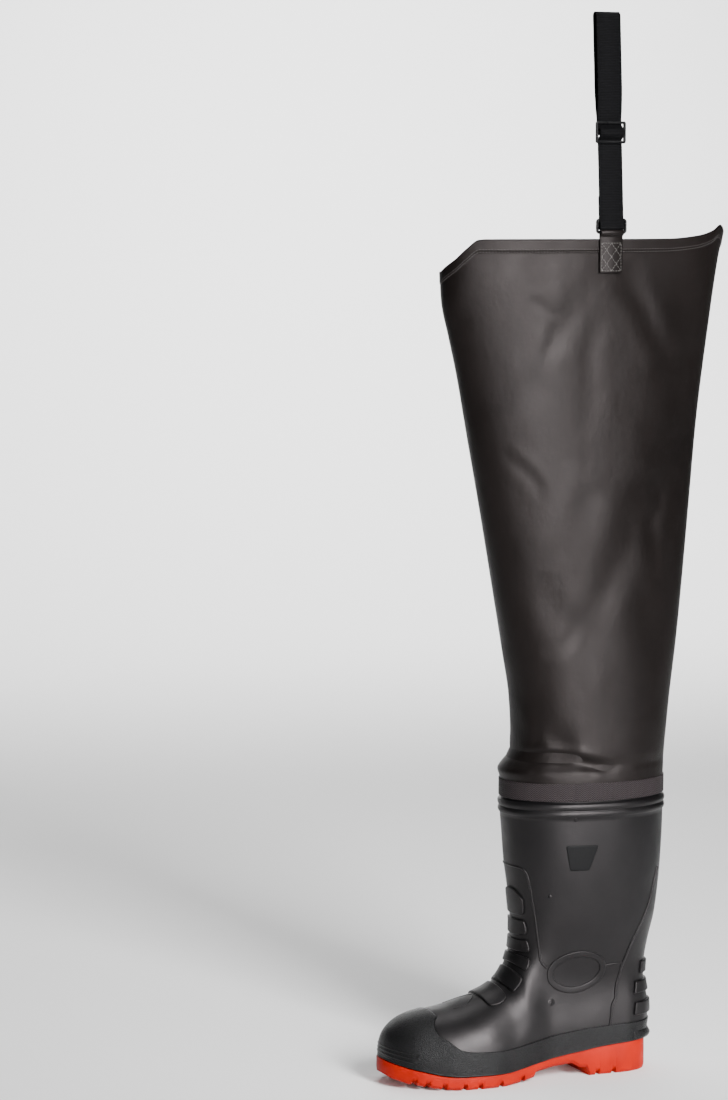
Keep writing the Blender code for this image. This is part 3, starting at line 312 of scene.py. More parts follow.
# Creases of the leg: the track runs through pairs of shares, across LEG_TOP_LENGTH from the leg's axis
# (toe side negative) and up the leg. Width and depth are in metres, ridge is the share of the
# depth that stands up beside the crease, and side is the side of the leg that it is on
CREASES = table("track width depth ridge side", (
    (((-0.274, 0.053), (-0.25, 0.066), (-0.219, 0.075), (-0.17, 0.079), (-0.107, 0.075),
      (-0.039, 0.065), (0.048, 0.052)), 0.006, 0.0034, 0.75, OUTER),
    (((-0.268, 0.168), (-0.254, 0.145), (-0.247, 0.124), (-0.252, 0.106), (-0.272, 0.086)), 0.0062,
      0.0044, 0.7, OUTER),
    (((0.09, 0.96), (0.114, 0.919), (0.157, 0.871), (0.206, 0.821), (0.277, 0.763)), 0.0139, 0.002,
      0.45, OUTER),
    (((-0.021, 0.938), (-0.06, 0.906), (-0.102, 0.876), (-0.14, 0.832), (-0.17, 0.788)), 0.0132,
      0.0008, 0.45, OUTER),
    (((-0.254, 0.9), (-0.219, 0.889), (-0.179, 0.871), (-0.14, 0.866)), 0.0054, 0.0007, 0.6, OUTER),
    (((-0.146, 0.866), (-0.163, 0.833), (-0.186, 0.794), (-0.196, 0.76)), 0.0093, 0.0007, 0.52,
      OUTER),
    (((-0.238, 0.973), (-0.225, 0.938), (-0.206, 0.908)), 0.017, 0.0009, 0.22, OUTER),
    (((-0.011, 0.908), (-0.03, 0.85), (-0.048, 0.802), (-0.045, 0.752), (-0.052, 0.696),
      (-0.06, 0.646)), 0.0132, 0.0009, 0.26, OUTER),
    (((-0.33, 0.633), (-0.294, 0.61), (-0.246, 0.587), (-0.215, 0.562), (-0.205, 0.535)), 0.007,
      0.0008, 0.6, OUTER),
    (((-0.04, 0.571), (-0.06, 0.531), (-0.08, 0.49), (-0.125, 0.43)), 0.017, 0.0012, 0.34, OUTER),
    (((0.187, 0.589), (0.22, 0.537), (0.187, 0.492), (0.198, 0.439), (0.18, 0.382)), 0.0101, 0.0013,
      0.52, OUTER),
    (((-0.156, 0.407), (-0.176, 0.371), (-0.163, 0.335), (-0.135, 0.305)), 0.017, 0.001, 0.26,
      OUTER),
    (((-0.085, 0.34), (-0.103, 0.304), (-0.141, 0.276), (-0.197, 0.263)), 0.0085, 0.0009, 0.52,
      OUTER),
    (((-0.055, 0.262), (-0.07, 0.218), (-0.082, 0.182)), 0.0093, 0.0005, 0.38, OUTER),
    (((0.332, 0.945), (0.329, 0.838), (0.306, 0.712), (0.278, 0.568), (0.232, 0.407),
      (0.194, 0.264), (0.175, 0.138)), 0.03, 0.0045, 0.0, OUTER),
    (((-0.447, 0.894), (-0.418, 0.789), (-0.381, 0.665)), 0.0264, 0.001, 0.15, OUTER),
    (((-0.207, 0.066), (-0.216, 0.053), (-0.219, 0.04)), 0.0054, 0.0005, 0.45, OUTER),
    (((-0.04, 0.058), (-0.049, 0.047), (-0.054, 0.039)), 0.0062, 0.0006, 0.45, OUTER),
    (((-0.25, 0.06), (-0.14, 0.078), (0.02, 0.066), (0.12, 0.05)), 0.0091, 0.0025, 0.7, INNER),
    (((0.08, 0.93), (0.02, 0.82), (0.06, 0.7), (0.03, 0.6)), 0.0156, 0.0018, 0.4, INNER),
    (((-0.3, 0.86), (-0.2, 0.76), (-0.18, 0.64)), 0.013, 0.0015, 0.55, INNER),
    (((-0.22, 0.47), (-0.08, 0.4), (0.04, 0.38)), 0.0104, 0.0014, 0.6, INNER),
    (((0.16, 0.56), (0.14, 0.42), (0.09, 0.28), (0.08, 0.17)), 0.0169, 0.0019, 0.4, INNER),
    (((-0.18, 0.3), (-0.13, 0.2), (-0.15, 0.13)), 0.0091, 0.0014, 0.6, INNER),
))

# Plain raised plate on the outer side of the shaft: its corners in side view, from the lower toe
# side one round to the upper toe side one
PLATE = ((0.365, 2.235), (0.298, 2.235), (0.265, 2.505), (0.383, 2.505))

NICK_DEPTH = 0.0022
# Small nicks in the boot's outer side: place as shares of OUTSOLE_LENGTH and INSTEP_HEIGHT, and reach
NICKS = ((0.405, 0.816, 0.0042), (0.352, 2.780, 0.0022), (0.425, 1.960, 0.0020))

# The floor is flat up to a bend behind the part and then rises as a wall
FLOOR_REACH = 6.0
FLOOR_BEND = 3.4
FLOOR_RADIUS = 1.6

CAMERA_PLACE = (-1.67368, -3.42982, 0.9)
CAMERA_TURN = 22.0615
CAMERA_TILT = 5.2067
CAMERA_LENS = 118.44

# Lights: place and aim in metres, width and height of the panel, power in watts, and the angle it
# spreads over in degrees
LIGHTS = table("name place aim width height power spread", (
    ("Key", (0.1, -2.45, 1.6), (-0.05, 0.0, 0.55), 0.7, 1.3, 42.0, 80.0),
    ("Strip", (-0.42, -2.45, 0.46), (-0.07, 0.0, 0.6), 0.5, 0.8, 7.0, 60.0),
    ("Low", (1.05, -2.2, 0.34), (-0.02, 0.0, 0.08), 0.8, 0.36, 0.8, 24.0),
    ("Left", (-2.6, -0.3, 1.2), (-0.1, 0.0, 0.3), 0.5, 1.6, 0.4, 90.0),
    ("Top", (0.3, 1.1, 3.4), (0.5, 1.5, 0.0), 2.4, 1.8, 50.0, 130.0),
    ("Backdrop", (1.7, 2.6, 3.3), (1.85, 5.0, 0.9), 2.8, 0.8, 165.0, 120.0),
))


def blend(start, end, share):
    return start + (end - start) * share


def smoothstep(value, low, high):
    share = np.clip((value - low) / (high - low), 0.0, 1.0)
    return share * share * (3.0 - 2.0 * share)


def smooth_curve(keys, values):
    """Return a curve through the points that never swings past them."""
    keys = np.array(keys, float)
    values = np.array(values, float)
    slopes = np.diff(values) / np.diff(keys)
    before, after = slopes[:-1], slopes[1:]
    same_way = before * after > 0.0
    total = np.where(same_way, before + after, 1.0)
    inner = np.where(same_way, 2.0 * before * after / total, 0.0)
    turns = np.concatenate(([slopes[0]], inner, [slopes[-1]]))

    def curve(key):
        key = np.clip(key, keys[0], keys[-1])
        i = np.clip(np.searchsorted(keys, key, side="right") - 1, 0, len(slopes) - 1)
        step = keys[i + 1] - keys[i]
        t = (key - keys[i]) / step
        return ((1 + 2 * t) * (1 - t) ** 2 * values[i] + t * (1 - t) ** 2 * step * turns[i]
                + t * t * (3 - 2 * t) * values[i + 1] + t * t * (t - 1) * step * turns[i + 1])

    return curve


def round_turns(count):
    return np.linspace(0.0, FULL_TURN, count, endpoint=False)


def side_of(turn):
    return np.where(np.sin(turn) >= 0.0, OUTER, INNER)


def lengths_along(points):
    """Return how far along a line of points each of them is."""
    steps = np.linalg.norm(np.diff(points, axis=0), axis=1)
    return np.concatenate(([0.0], np.cumsum(steps)))


def turn_of(share):
    return np.arccos(1.0 - 2.0 * np.clip(share, 0.0, 1.0))


plan_turns = turn_of(np.array([row.along for row in PLAN]))
plan_outer = smooth_curve(plan_turns, [row.outer * BALL_WIDTH for row in PLAN])
plan_inner = smooth_curve(plan_turns, [row.inner * BALL_WIDTH for row in PLAN])
sole_top = smooth_curve([row.along for row in SOLE], [row.top * HEEL_HEIGHT for row in SOLE])
front_rows = [(row.height * INSTEP_HEIGHT, HEEL_BACK_X - row.reach * OUTSOLE_LENGTH) for row in CREST]
front_rows += [(row.height * BOOT_HEIGHT, LEG_X - row.front * COLLAR_LENGTH)
               for row in SHAFT if row.height > FRONT_ROWS_FROM]
front_x = smooth_curve([row[0] for row in front_rows], [row[1] for row in front_rows])
shaft_heights = [row.height * BOOT_HEIGHT for row in SHAFT]
back_x = smooth_curve(shaft_heights, [LEG_X + row.back * COLLAR_LENGTH for row in SHAFT])
shaft_half = smooth_curve(shaft_heights, [row.width * COLLAR_WIDTH for row in SHAFT])
bead_proud = smooth_curve([BOOT_HEIGHT + row.height * NECK_HEIGHT for row in BEADS],
                          [row.proud * BEAD_STEP for row in BEADS])
leg_rises = [row.rise for row in LEG]
leg_front = smooth_curve(leg_rises, [row.front for row in LEG])
leg_back = smooth_curve(leg_rises, [row.back for row in LEG])
leg_width = smooth_curve(leg_rises, [row.width for row in LEG])
rim_outer = smooth_curve([row.around for row in RIM], [row.outer * RIM_DROP for row in RIM])
rim_inner = smooth_curve([row.around for row in RIM], [row.inner * RIM_DROP for row in RIM])
tread = ([row.along for row in SOLE], [row.tread * HEEL_HEIGHT for row in SOLE])
crest_low, crest_high = CREST[0].height * INSTEP_HEIGHT, CREST[-1].height * INSTEP_HEIGHT
crest_heights = np.linspace(crest_low, crest_high, 4000)
crest_places = np.maximum.accumulate(front_x(crest_heights))


def half_width(side, share, inset):
    """Return the plan's half-width, drawn in by the inset and still round at its ends."""
    turn = turn_of(share)
    half = np.where(side == OUTER, plan_outer(turn), plan_inner(turn))
    return half - inset * np.minimum(1.0, half / (INSET_FROM * BALL_WIDTH))


def centre_y(share):
    return TOE_SWING * smoothstep(share, SWING_FROM, 1.0)


def feather_z(share):
    return sole_top(share) + UPPER_SEAT


def crest_z(x):
    """Return the height of the foot's crest above a place along it."""
    past = np.maximum(x - front_x(crest_high), 0.0)
    found = np.interp(x, crest_places, crest_heights)
    return np.where(past > 0.0, crest_high + LID_SLOPE * past + LID_GROWTH * past * past, found)


def boot_ends(level):
    """Return where the boot's front and back are at a level."""
    part = np.clip(level / FOOT_WALL, -1.0, 1.0)
    front = front_x(np.maximum(blend(feather_z(1.0), 0.0, part) + level, 0.0))
    return front, back_x(blend(feather_z(0.0), 0.0, part) + level)


def boot_points(turn, level):
    """Return points of the boot's outer surface.

    turn goes round the boot from the toe over the outer side to the heel and back, and level is
    the height, measured on the foot's wall as a share of the way up from the sole.
    """
    turn, level = np.broadcast_arrays(np.asarray(turn, float), np.asarray(level, float))
    front, back = boot_ends(level)
    x = 0.5 * (front + back) - 0.5 * (back - front) * np.cos(turn)
    share = (back - x) / (back - front_x(feather_z(1.0)))
    side = side_of(turn)
    base = feather_z(share)
    z = blend(base, 0.0, np.clip(level / FOOT_WALL, -1.0, 1.0)) + level
    ratio = np.clip((z - base) / np.maximum(crest_z(x) - base, CLEARANCE), 0.0, 1.0)
    dome = (1.0 - ratio ** DOME_RISE) ** (1.0 / DOME_ROUND)
    foot = half_width(side, share, UPPER_INSET) * dome
    oval = np.maximum(1.0 - np.abs(np.cos(turn)) ** SHAFT_ROUND, 0.0) ** (1.0 / SHAFT_ROUND)
    shaft = shaft_half(z) * oval
    turned = smoothstep(z, FOOT_ENDS * INSTEP_HEIGHT, SHAFT_STARTS * INSTEP_HEIGHT)
    half = blend(foot, shaft, turned)
    waist = smoothstep(z, WAIST_FROM, WAIST_HEIGHT) * (1.0 - smoothstep(z, WAIST_HEIGHT, WAIST_TO))
    waist *= smoothstep(share, *WAIST_HEEL) * (1.0 - smoothstep(share, *WAIST_INSTEP))
    y = centre_y(share) * (1.0 - turned) + side * half * (1.0 - ANKLE_WAIST * waist)
    return np.stack([x, y, z], -1)


def leg_points(turn, rise):
    """Return points of the leg's outer surface, from the collar (0) to the rim (1)."""
    turn, rise = np.broadcast_arrays(np.asarray(turn, float), np.asarray(rise, float))
    inside = np.clip(rise, 0.0, 1.0)
    grown = CLEARANCE + LEG_WALL
    front = blend(front_x(NECK_TOP) - grown, LEG_X - 0.5 * LEG_TOP_LENGTH, leg_front(inside))
    back = blend(back_x(NECK_TOP) + grown, LEG_X + 0.5 * LEG_TOP_LENGTH, leg_back(inside))
    half = blend(shaft_half(NECK_TOP) + grown, 0.5 * LEG_TOP_WIDTH, leg_width(inside))
    along = -np.cos(turn)
    side = side_of(turn)
    x = 0.5 * (front + back) + 0.5 * (back - front) * along
    oval = np.maximum(1.0 - np.abs(along) ** SHAFT_ROUND, 0.0) ** (1.0 / SHAFT_ROUND)
    y = side * (half * oval - leg_fold(along, inside, side))
    around = np.arccos(np.clip(-along, -1.0, 1.0)) / math.pi
    lift = np.where(side == OUTER, rim_outer(around), rim_inner(around))
    lift = lift * smoothstep(inside, RIM_BLEND, 1.0)
    return np.stack([x, y, LEG_BOTTOM + rise * LEG_SPAN + lift], -1)


def leg_fold(along, rise, side):
    """Return how deep the folds press in the leg's side; a ridge's depth is negative."""
    deep = np.zeros_like(rise)
    for fold in FOLDS:
        run = along - fold.along
        reach = run / fold.length
        off = (rise - fold.rise - fold.slope * 0.1 * run) / (0.35 * fold.width)
        shape = np.exp(-off * off) * np.maximum(0.0, 1.0 - reach * reach) ** 2
        deep += np.where(side == fold.side, fold.depth * LEG_TOP_WIDTH * shape, 0.0)
    return deep * smoothstep(1.0 - np.abs(along), 0.0, 0.25)


def moved_out(surface, turn, level, proud):
    """Return the surface's points moved outwards along its normals."""
    turn, level = np.broadcast_arrays(np.asarray(turn, float), np.asarray(level, float))
    around = surface(turn + TURN_STEP, level) - surface(turn - TURN_STEP, level)
    upwards = surface(turn, level + LEVEL_STEP) - surface(turn, level - LEVEL_STEP)
    normal = np.cross(around, upwards)
    normal /= np.maximum(np.linalg.norm(normal, axis=-1, keepdims=True), 1e-12)
    return surface(turn, level) + normal * np.asarray(proud)[..., None]


def found_level(height, turn_at):
    """Return the turn and the level at which the boot has a height; turn_at gives a level's turn."""
    low, high = np.zeros_like(height), np.full_like(height, NECK_TOP)
    for _ in range(SEARCH_STEPS):
        level = 0.5 * (low + high)
        over = boot_points(turn_at(level), level)[..., 2] > height
        low, high = np.where(over, low, level), np.where(over, level, high)
    return turn_at(level), level


def facing(surface, turn, level, proud=0.0):
    """Return a line's points at a height over a surface, and the way out of the surface there."""
    low = moved_out(surface, turn, level, np.full_like(turn, proud))
    high = moved_out(surface, turn, level, np.full_like(turn, proud + PROBE))
    return low, (high - low) / PROBE


def boot_place(x, z, side=OUTER):
    """Return the turn and the level of the boot's points that a side view shows at x and z."""
    x, z = np.asarray(x, float), np.asarray(z, float)

    def turn_at(level):
        front, back = boot_ends(level)
        return np.arccos(np.clip((0.5 * (front + back) - x) / (0.5 * (back - front)), -1.0, 1.0))

    turn, level = found_level(z, turn_at)
    return -side * turn, level


def back_level(turn, height):
    """Return the level at which the boot's back has a height at a turn."""
    return found_level(height + np.zeros_like(turn), lambda level: turn)[1]


def side_place(corners, side=OUTER):
    """Return the turns and levels of a table's corners, shares of the sole's length and the instep."""
    corners = np.asarray(corners)
    along, height = corners[..., 0], corners[..., 1]
    return boot_place(HEEL_BACK_X - along * OUTSOLE_LENGTH, height * INSTEP_HEIGHT, side)


def linked(name, data):
    made = bpy.data.objects.new(name, data)
    bpy.context.scene.collection.objects.link(made)
    return made


def settle(mesh, surface, node):
    """Put a new mesh in the scene as a piece that stands for a node of the part and rides on it."""
    return finish_piece(linked(mesh.name, mesh), surface, node)


def finish_piece(made, surface, node):
    made.data.materials.clear()
    made.data.materials.append(surface)
    made.data.polygons.foreach_set("use_smooth", np.ones(len(made.data.polygons), bool))
    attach(made, "root")
    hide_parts(node)
    return made


def select(*chosen):
    """Select only these objects and make the first one active."""
    for other in bpy.context.selected_objects:
        other.select_set(False)
    for made in chosen:
        made.select_set(True)
    bpy.context.view_layer.objects.active = chosen[0]


def sharpen(obj, degrees):
    select(obj)
    bpy.ops.object.shade_smooth_by_angle(angle=math.radians(degrees))


def round_edges(obj, width, degrees, segments=2):
    """Bevel the edges whose faces meet at more than an angle."""
    edges = obj.modifiers.new("Rounded edges", "BEVEL")
    edges.width = width
    edges.segments = segments
    edges.limit_method = "ANGLE"
    edges.angle_limit = math.radians(degrees)
    select(obj)
    bpy.ops.object.modifier_apply(modifier=edges.name)


def grid_mesh(name, points, wrap_rows=False, wrap_columns=True, capped=False, uv=None):
    """Return a mesh through rows of points; uv holds one more row or column where it wraps."""
    rows, columns = points.shape[:2]
    mesh = bpy.data.meshes.new(name)
    i, j = np.meshgrid(np.arange(rows if wrap_rows else rows - 1),
                       np.arange(columns if wrap_columns else columns - 1), indexing="ij")
    i, j = i.ravel(), j.ravel()
    i2, j2 = (i + 1) % rows, (j + 1) % columns
    faces = np.stack([i * columns + j, i * columns + j2, i2 * columns + j2, i2 * columns + j], -1)
    lists = faces.tolist()
    if capped:
        lists.append(list(range(columns))[::-1])
        lists.append([(rows - 1) * columns + k for k in range(columns)])
    mesh.from_pydata(points.reshape(-1, 3).tolist(), [], lists)
    if uv is not None:
        layer = mesh.uv_layers.new(name="UVMap")
        corners = np.stack([uv[i, j], uv[i, j + 1], uv[i + 1, j + 1], uv[i + 1, j]], 1).reshape(-1, 2)
        filled = np.zeros((len(mesh.loops), 2))
        filled[:len(corners)] = corners
        layer.data.foreach_set("uv", filled.ravel())
    mesh.validate()
    face_out(mesh)
    return mesh


def face_out(mesh, merged=False):
    """Point a closed mesh's faces outwards, and merge what meets in it if asked to."""
    shell = bmesh.new()
    shell.from_mesh(mesh)
    if merged:
        bmesh.ops.remove_doubles(shell, verts=shell.verts, dist=1e-6)
        bmesh.ops.dissolve_degenerate(shell, edges=shell.edges, dist=1e-7)
    bmesh.ops.recalc_face_normals(shell, faces=shell.faces)
    shell.to_mesh(mesh)
    shell.free()


def rows_between(low, high, step):
    """Return heights whose places on the boot's front are about a step apart, without the last."""
    heights = np.linspace(low, high, 400)
    places = front_x(heights)
    lengths = lengths_along(np.stack([heights, places], -1))
    count = max(1, round(lengths[-1] / step))
    return np.interp(np.arange(count) * lengths[-1] / count, lengths, heights)


def strip_mesh(name, centre, normal, width, profile, capped=True, closed=False):
    """Return a mesh of a cross-section led along a line on a surface.

    profile holds pairs: a share of the half-width across and a height above the surface.
    """
    if closed:
        run = np.roll(centre, -1, 0) - np.roll(centre, 1, 0)
    else:
        run = np.gradient(centre, axis=0)
    run /= np.linalg.norm(run, axis=1, keepdims=True)
    across = np.cross(normal, run)
    across /= np.linalg.norm(across, axis=1, keepdims=True)
    points = np.stack([centre + across * (0.5 * width * a) + normal * h for a, h in profile], 1)
    return grid_mesh(name, points, wrap_rows=closed, capped=capped and not closed)


def boot_line(turns, levels, steps):
    """Return points and normals along a smooth line on the boot through turns and levels."""
    flat = boot_points(turns, levels)
    lengths = lengths_along(flat)
    place = np.linspace(0.0, lengths[-1], steps)
    turn, level = smooth_curve(lengths, turns)(place), smooth_curve(lengths, levels)(place)
    for _ in range(2):
        turn[1:-1] = (turn[:-2] + 2 * turn[1:-1] + turn[2:]) / 4
        level[1:-1] = (level[:-2] + 2 * level[1:-1] + level[2:]) / 4
    return facing(boot_points, turn, level)


# Finishes

def scaled(colour, factor):
    return tuple(channel * factor for channel in colour)


class Finish:
    """A material, and the nodes that give it its tones, its roughness and its relief."""

    def __init__(self, name, colour, roughness, specular, warmth=(1.0, 1.0, 1.0)):
        self.made = bpy.data.materials.new(name)
        self.made.use_nodes = True
        self.tree = self.made.node_tree
        self.colour = colour
        self.shader = self.tree.nodes["Principled BSDF"]
        self.shader.inputs["Base Color"].default_value = (*colour, 1.0)
        self.shader.inputs["Roughness"].default_value = roughness
        self.shader.inputs["Specular IOR Level"].default_value = specular
        self.shader.inputs["Specular Tint"].default_value = (*warmth, 1.0)
        self.places = self.tree.nodes.new("ShaderNodeTexCoord")
        self.bump = None

    def add(self, kind, inputs, operation=None):
        """Add a node whose inputs are given as numbers or as sockets to link."""
        node = self.tree.nodes.new("ShaderNode" + kind)
        if operation:
            node.operation = operation
        for key, value in inputs.items():
            if isinstance(value, bpy.types.NodeSocket):
                self.tree.links.new(value, node.inputs[key])
            else:
                node.inputs[key].default_value = value
        return node

    def calculated(self, operation, first, second):
        return self.add("Math", {0: first, 1: second}, operation).outputs["Value"]

    def noise(self, scale, detail=2.0, stretch=None):
        places = self.places.outputs["Object"]
        if stretch:
            places = self.add("Mapping", {"Vector": places, "Scale": stretch}).outputs["Vector"]
        return self.add("TexNoise", {"Vector": places, "Scale": scale, "Detail": detail}).outputs["Fac"]

    def wave(self, axis, scale, output="Object", bent=0.0):
        """Return the value of a band pattern across an axis."""
        node = self.add("TexWave", {"Vector": self.places.outputs[output], "Scale": scale,
                                    "Distortion": bent, "Detail": 0.0})
        node.bands_direction = axis
        return node.outputs["Fac"]

    def spread(self, value, low, high, to_low=0.0, to_high=1.0):
        """Return a value mapped from one range to another and kept inside it."""
        return self.add("MapRange", {"Value": value, "From Min": low, "From Max": high,
                                     "To Min": to_low, "To Max": to_high}).outputs["Result"]

    def rough(self, scale, detail, low, high):
        """Let the roughness wander between two values."""
        wander = self.spread(self.noise(scale, detail), 0.3, 0.7, low, high)
        self.tree.links.new(wander, self.shader.inputs["Roughness"])

    def tint(self, value, low, high):
        """Colour the shader between two multiples of its colour by a value."""
        node = self.tree.nodes.new("ShaderNodeMix")
        node.data_type = "RGBA"
        node.inputs["A"].default_value = (*scaled(self.colour, low), 1.0)
        node.inputs["B"].default_value = (*scaled(self.colour, high), 1.0)
        self.tree.links.new(value, node.inputs["Factor"])
        self.tree.links.new(node.outputs["Result"], self.shader.inputs["Base Color"])

    def relief(self, value, depth, strength=1.0):
        """Add a bump of a depth in metres on top of the last one."""
        inputs = {"Height": value, "Distance": depth, "Strength": strength}
        if self.bump:
            inputs["Normal"] = self.bump.outputs["Normal"]
        self.bump = self.add("Bump", inputs)
        self.tree.links.new(self.bump.outputs["Normal"], self.shader.inputs["Normal"])

    def nick(self, spot, reach):
        """Return a ragged value round a spot of the surface: 1 in its middle and 0 beyond its reach."""
        away = self.add("VectorMath", {0: self.places.outputs["Object"], 1: spot.tolist()}, "DISTANCE")
        near = self.spread(away.outputs["Value"], 0.0, reach, 1.0, 0.0)
        return self.calculated("MULTIPLY", near, self.noise(420.0, 3.0))


def smooth_pvc(colour, gloss, nicks=()):
    """Black moulded PVC: satin, with a fine grain, faint flow marks and rubbed patches."""
    finish = Finish("Moulded PVC", colour, gloss, 0.26, (1.0, 0.93, 0.94))
    finish.tint(finish.spread(finish.noise(14.0, 4.0), 0.35, 0.7), 0.8, 1.5)
    finish.rough(30.0, 5.0, gloss + 0.02, gloss + 0.18)
    finish.relief(finish.noise(60.0, 3.0), 0.0012, 0.25)
    finish.relief(finish.noise(900.0), 0.00012, 0.5)
    for along, level, reach in nicks:
        spot = boot_points(*side_place((along, level)))
        finish.relief(finish.nick(spot, reach), NICK_DEPTH)
    return finish.made


def grained_pvc(colour, gloss):
    """The rand's and toe cap's black PVC, with a pebbled grain about a millimetre across, each pebble
    painted lighter on its top and darker round it as painted highlight and shade.
    """
    finish = Finish("Pebbled PVC", colour, gloss, 0.20)
    cells = finish.add("TexVoronoi", {"Vector": finish.places.outputs["Object"], "Scale": 1000.0})
    pebbles_and_painted_light = finish.spread(cells.outputs["Distance"], 0.1, 0.75, 1.0, 0.0)
    # Painted highlight on the pebbles' tops and painted shade in the gaps between them.
    finish.tint(pebbles_and_painted_light, 0.5, 3.2)
    finish.rough(40.0, 4.0, gloss - 0.05, gloss + 0.07)
    finish.relief(pebbles_and_painted_light, 0.00032, 0.9)
    return finish.made


def sole_pvc(colour):
    """Red-orange moulded sole: matte, with faint clouds and scuffs."""
    finish = Finish("Red sole PVC", colour, 0.5, 0.08)
    finish.tint(finish.spread(finish.noise(45.0, 5.0), 0.35, 0.65), 0.88, 1.08)
    finish.rough(120.0, 3.0, 0.42, 0.6)
    finish.relief(finish.noise(90.0, 3.0), 0.0010, 0.2)
    finish.relief(finish.noise(1100.0), 0.0001, 0.4)
    return finish.made


def coated_cloth(colour, gloss):
    """The leg's PVC-coated cloth: warm dark grey, softly rumpled, its weave just showing."""
    finish = Finish("Coated cloth", colour, gloss, 0.17, (1.0, 0.91, 0.905))
    finish.tint(finish.spread(finish.noise(11.0, 5.0, (1.0, 1.0, 0.6)), 0.3, 0.7), 0.75, 1.3)
    finish.rough(24.0, 4.0, gloss - 0.05, gloss + 0.08)
    finish.relief(finish.noise(22.0, 4.0, (1.0, 1.0, 0.55)), 0.004, 0.30)
    finish.relief(finish.noise(160.0, 3.0), 0.0005, 0.3)
    weave = finish.calculated("MULTIPLY", finish.wave("X", 520.0), finish.wave("Z", 520.0))
    finish.relief(weave, 0.00010, 0.5)
    return finish.made


def ribbed_webbing(colour):
    """Black belt webbing, with fine ribs across it and dull synthetic thread; each rib is painted lighter
    on its top and darker between, as painted highlight and shade.
    """
    finish = Finish("Ribbed webbing", colour, 0.7, 0.08)
    ribs = finish.wave("X", 190.0, "UV", 0.4)
    # Painted highlight on each rib's top and painted shade between the ribs.
    finish.tint(ribs, 0.5, 2.2)
    finish.relief(ribs, 0.0005, 0.7)
    finish.relief(finish.wave("Y", 420.0, "UV", 0.3), 0.0002, 0.5)
    return finish.made


def herringbone_tape(colour):
    """Woven tape in a fine herringbone, two millimetres or so to a row, its ridges painted lighter and
    the grooves between them darker as painted highlight and shade.
    """
    finish = Finish("Herringbone tape", colour, 0.62, 0.15)
    split = finish.add("SeparateXYZ", {"Vector": finish.places.outputs["UV"]})
    zigzag = finish.calculated("PINGPONG", split.outputs["X"], 0.0028)
    lean = finish.calculated("ADD", zigzag, split.outputs["Y"])
    ridges = finish.spread(finish.calculated("PINGPONG", lean, 0.0011), 0.0003, 0.0008)
    # Painted highlight on the weave's ridges and painted shade between them.
    finish.tint(ridges, 0.1, 9.0)
    finish.relief(ridges, 0.0005, 0.9)
    return finish.made


def gloss_plastic(name, colour, gloss):
    finish = Finish(name, colour, gloss, 0.12)
    finish.rough(260.0, 3.0, gloss - 0.04, gloss + 0.10)
    finish.relief(finish.noise(400.0), 0.0002, 0.25)
    return finish.made


def thread(name, colour):
    finish = Finish(name, colour, 0.6, 0.4)
    finish.tint(finish.noise(1500.0), 0.6, 1.3)
    finish.relief(finish.wave("DIAGONAL", 900.0), 0.0001, 0.5)
    return finish.made


def knit_lining(colour):
    finish = Finish("Insole felt", colour, 0.9, 0.2)
    fibres = finish.noise(700.0, 4.0)
    finish.tint(fibres, 0.6, 1.5)
    finish.relief(fibres, 0.0003, 0.7)
    return finish.made


def stage_finish(colour):
    finish = Finish("Pale paper", colour, 0.75, 0.3)
    finish.tint(finish.noise(3.0), 0.99, 1.0)
    return finish.made


# Outsole, insole and boot

def outsole_section(share):
    """Return one closed cross-section of the outsole, from its tread round over its top."""
    x = HEEL_BACK_X - share * OUTSOLE_LENGTH
    floor = float(np.interp(share, *tread))
    top = float(sole_top(share))
    bevel = min(SIDE_BEVEL, 0.4 * (top - floor))
    channelled = FOREFOOT_LUGS[0] < share < FOREFOOT_LUGS[1]
    grooved = any(abs(share - groove) <= 1.01 * HALF_GROOVE for groove in GROOVES)
    points = []
    for column in TREAD_COLUMNS:
        side = OUTER if column < 0.0 else INNER
        y = centre_y(share) + column * half_width(side, share, 0.0)
        cut = grooved or (channelled and column in CHANNEL_COLUMNS)
        z = floor + (LUG_DEPTH if cut else 0.0) + (bevel if abs(column) == 1.0 else 0.0)
        points.append((x, float(y), min(z, top - bevel)))
    for side in (INNER, OUTER):
        points.append((x, float(centre_y(share) + side * half_width(side, share, 0.0)), top))
    return points


def make_outsole(sizes, colours):
    """The red sole: cross-sections from the heel to the toe, with moulded edges."""
    wall = 0.25 * HALF_GROOVE
    steps = [math.pi * (i + 0.3) / (SOLE_STATIONS - 0.4) for i in range(SOLE_STATIONS)]
    places = {0.5 - 0.5 * math.cos(step) for step in steps}
    places.update(row.along for row in SOLE if 0.0 < row.along < 1.0)
    for groove in GROOVES:
        places = {place for place in places if abs(place - groove) > HALF_GROOVE + 2.0 * wall}
        places.update((groove - HALF_GROOVE - wall, groove - HALF_GROOVE, groove + HALF_GROOVE,
                       groove + HALF_GROOVE + wall))
    first, last = FOREFOOT_LUGS
    places.update((first, first + wall, last - wall, last))
    rings = np.array([outsole_section(share) for share in sorted(places)])
    finish = sole_pvc(colours.sole)
    sole = settle(grid_mesh("sole", rings, capped=True), finish, "outsole")
    round_edges(sole, sizes.sole_round, 35.0)
    sharpen(sole, 40.0)


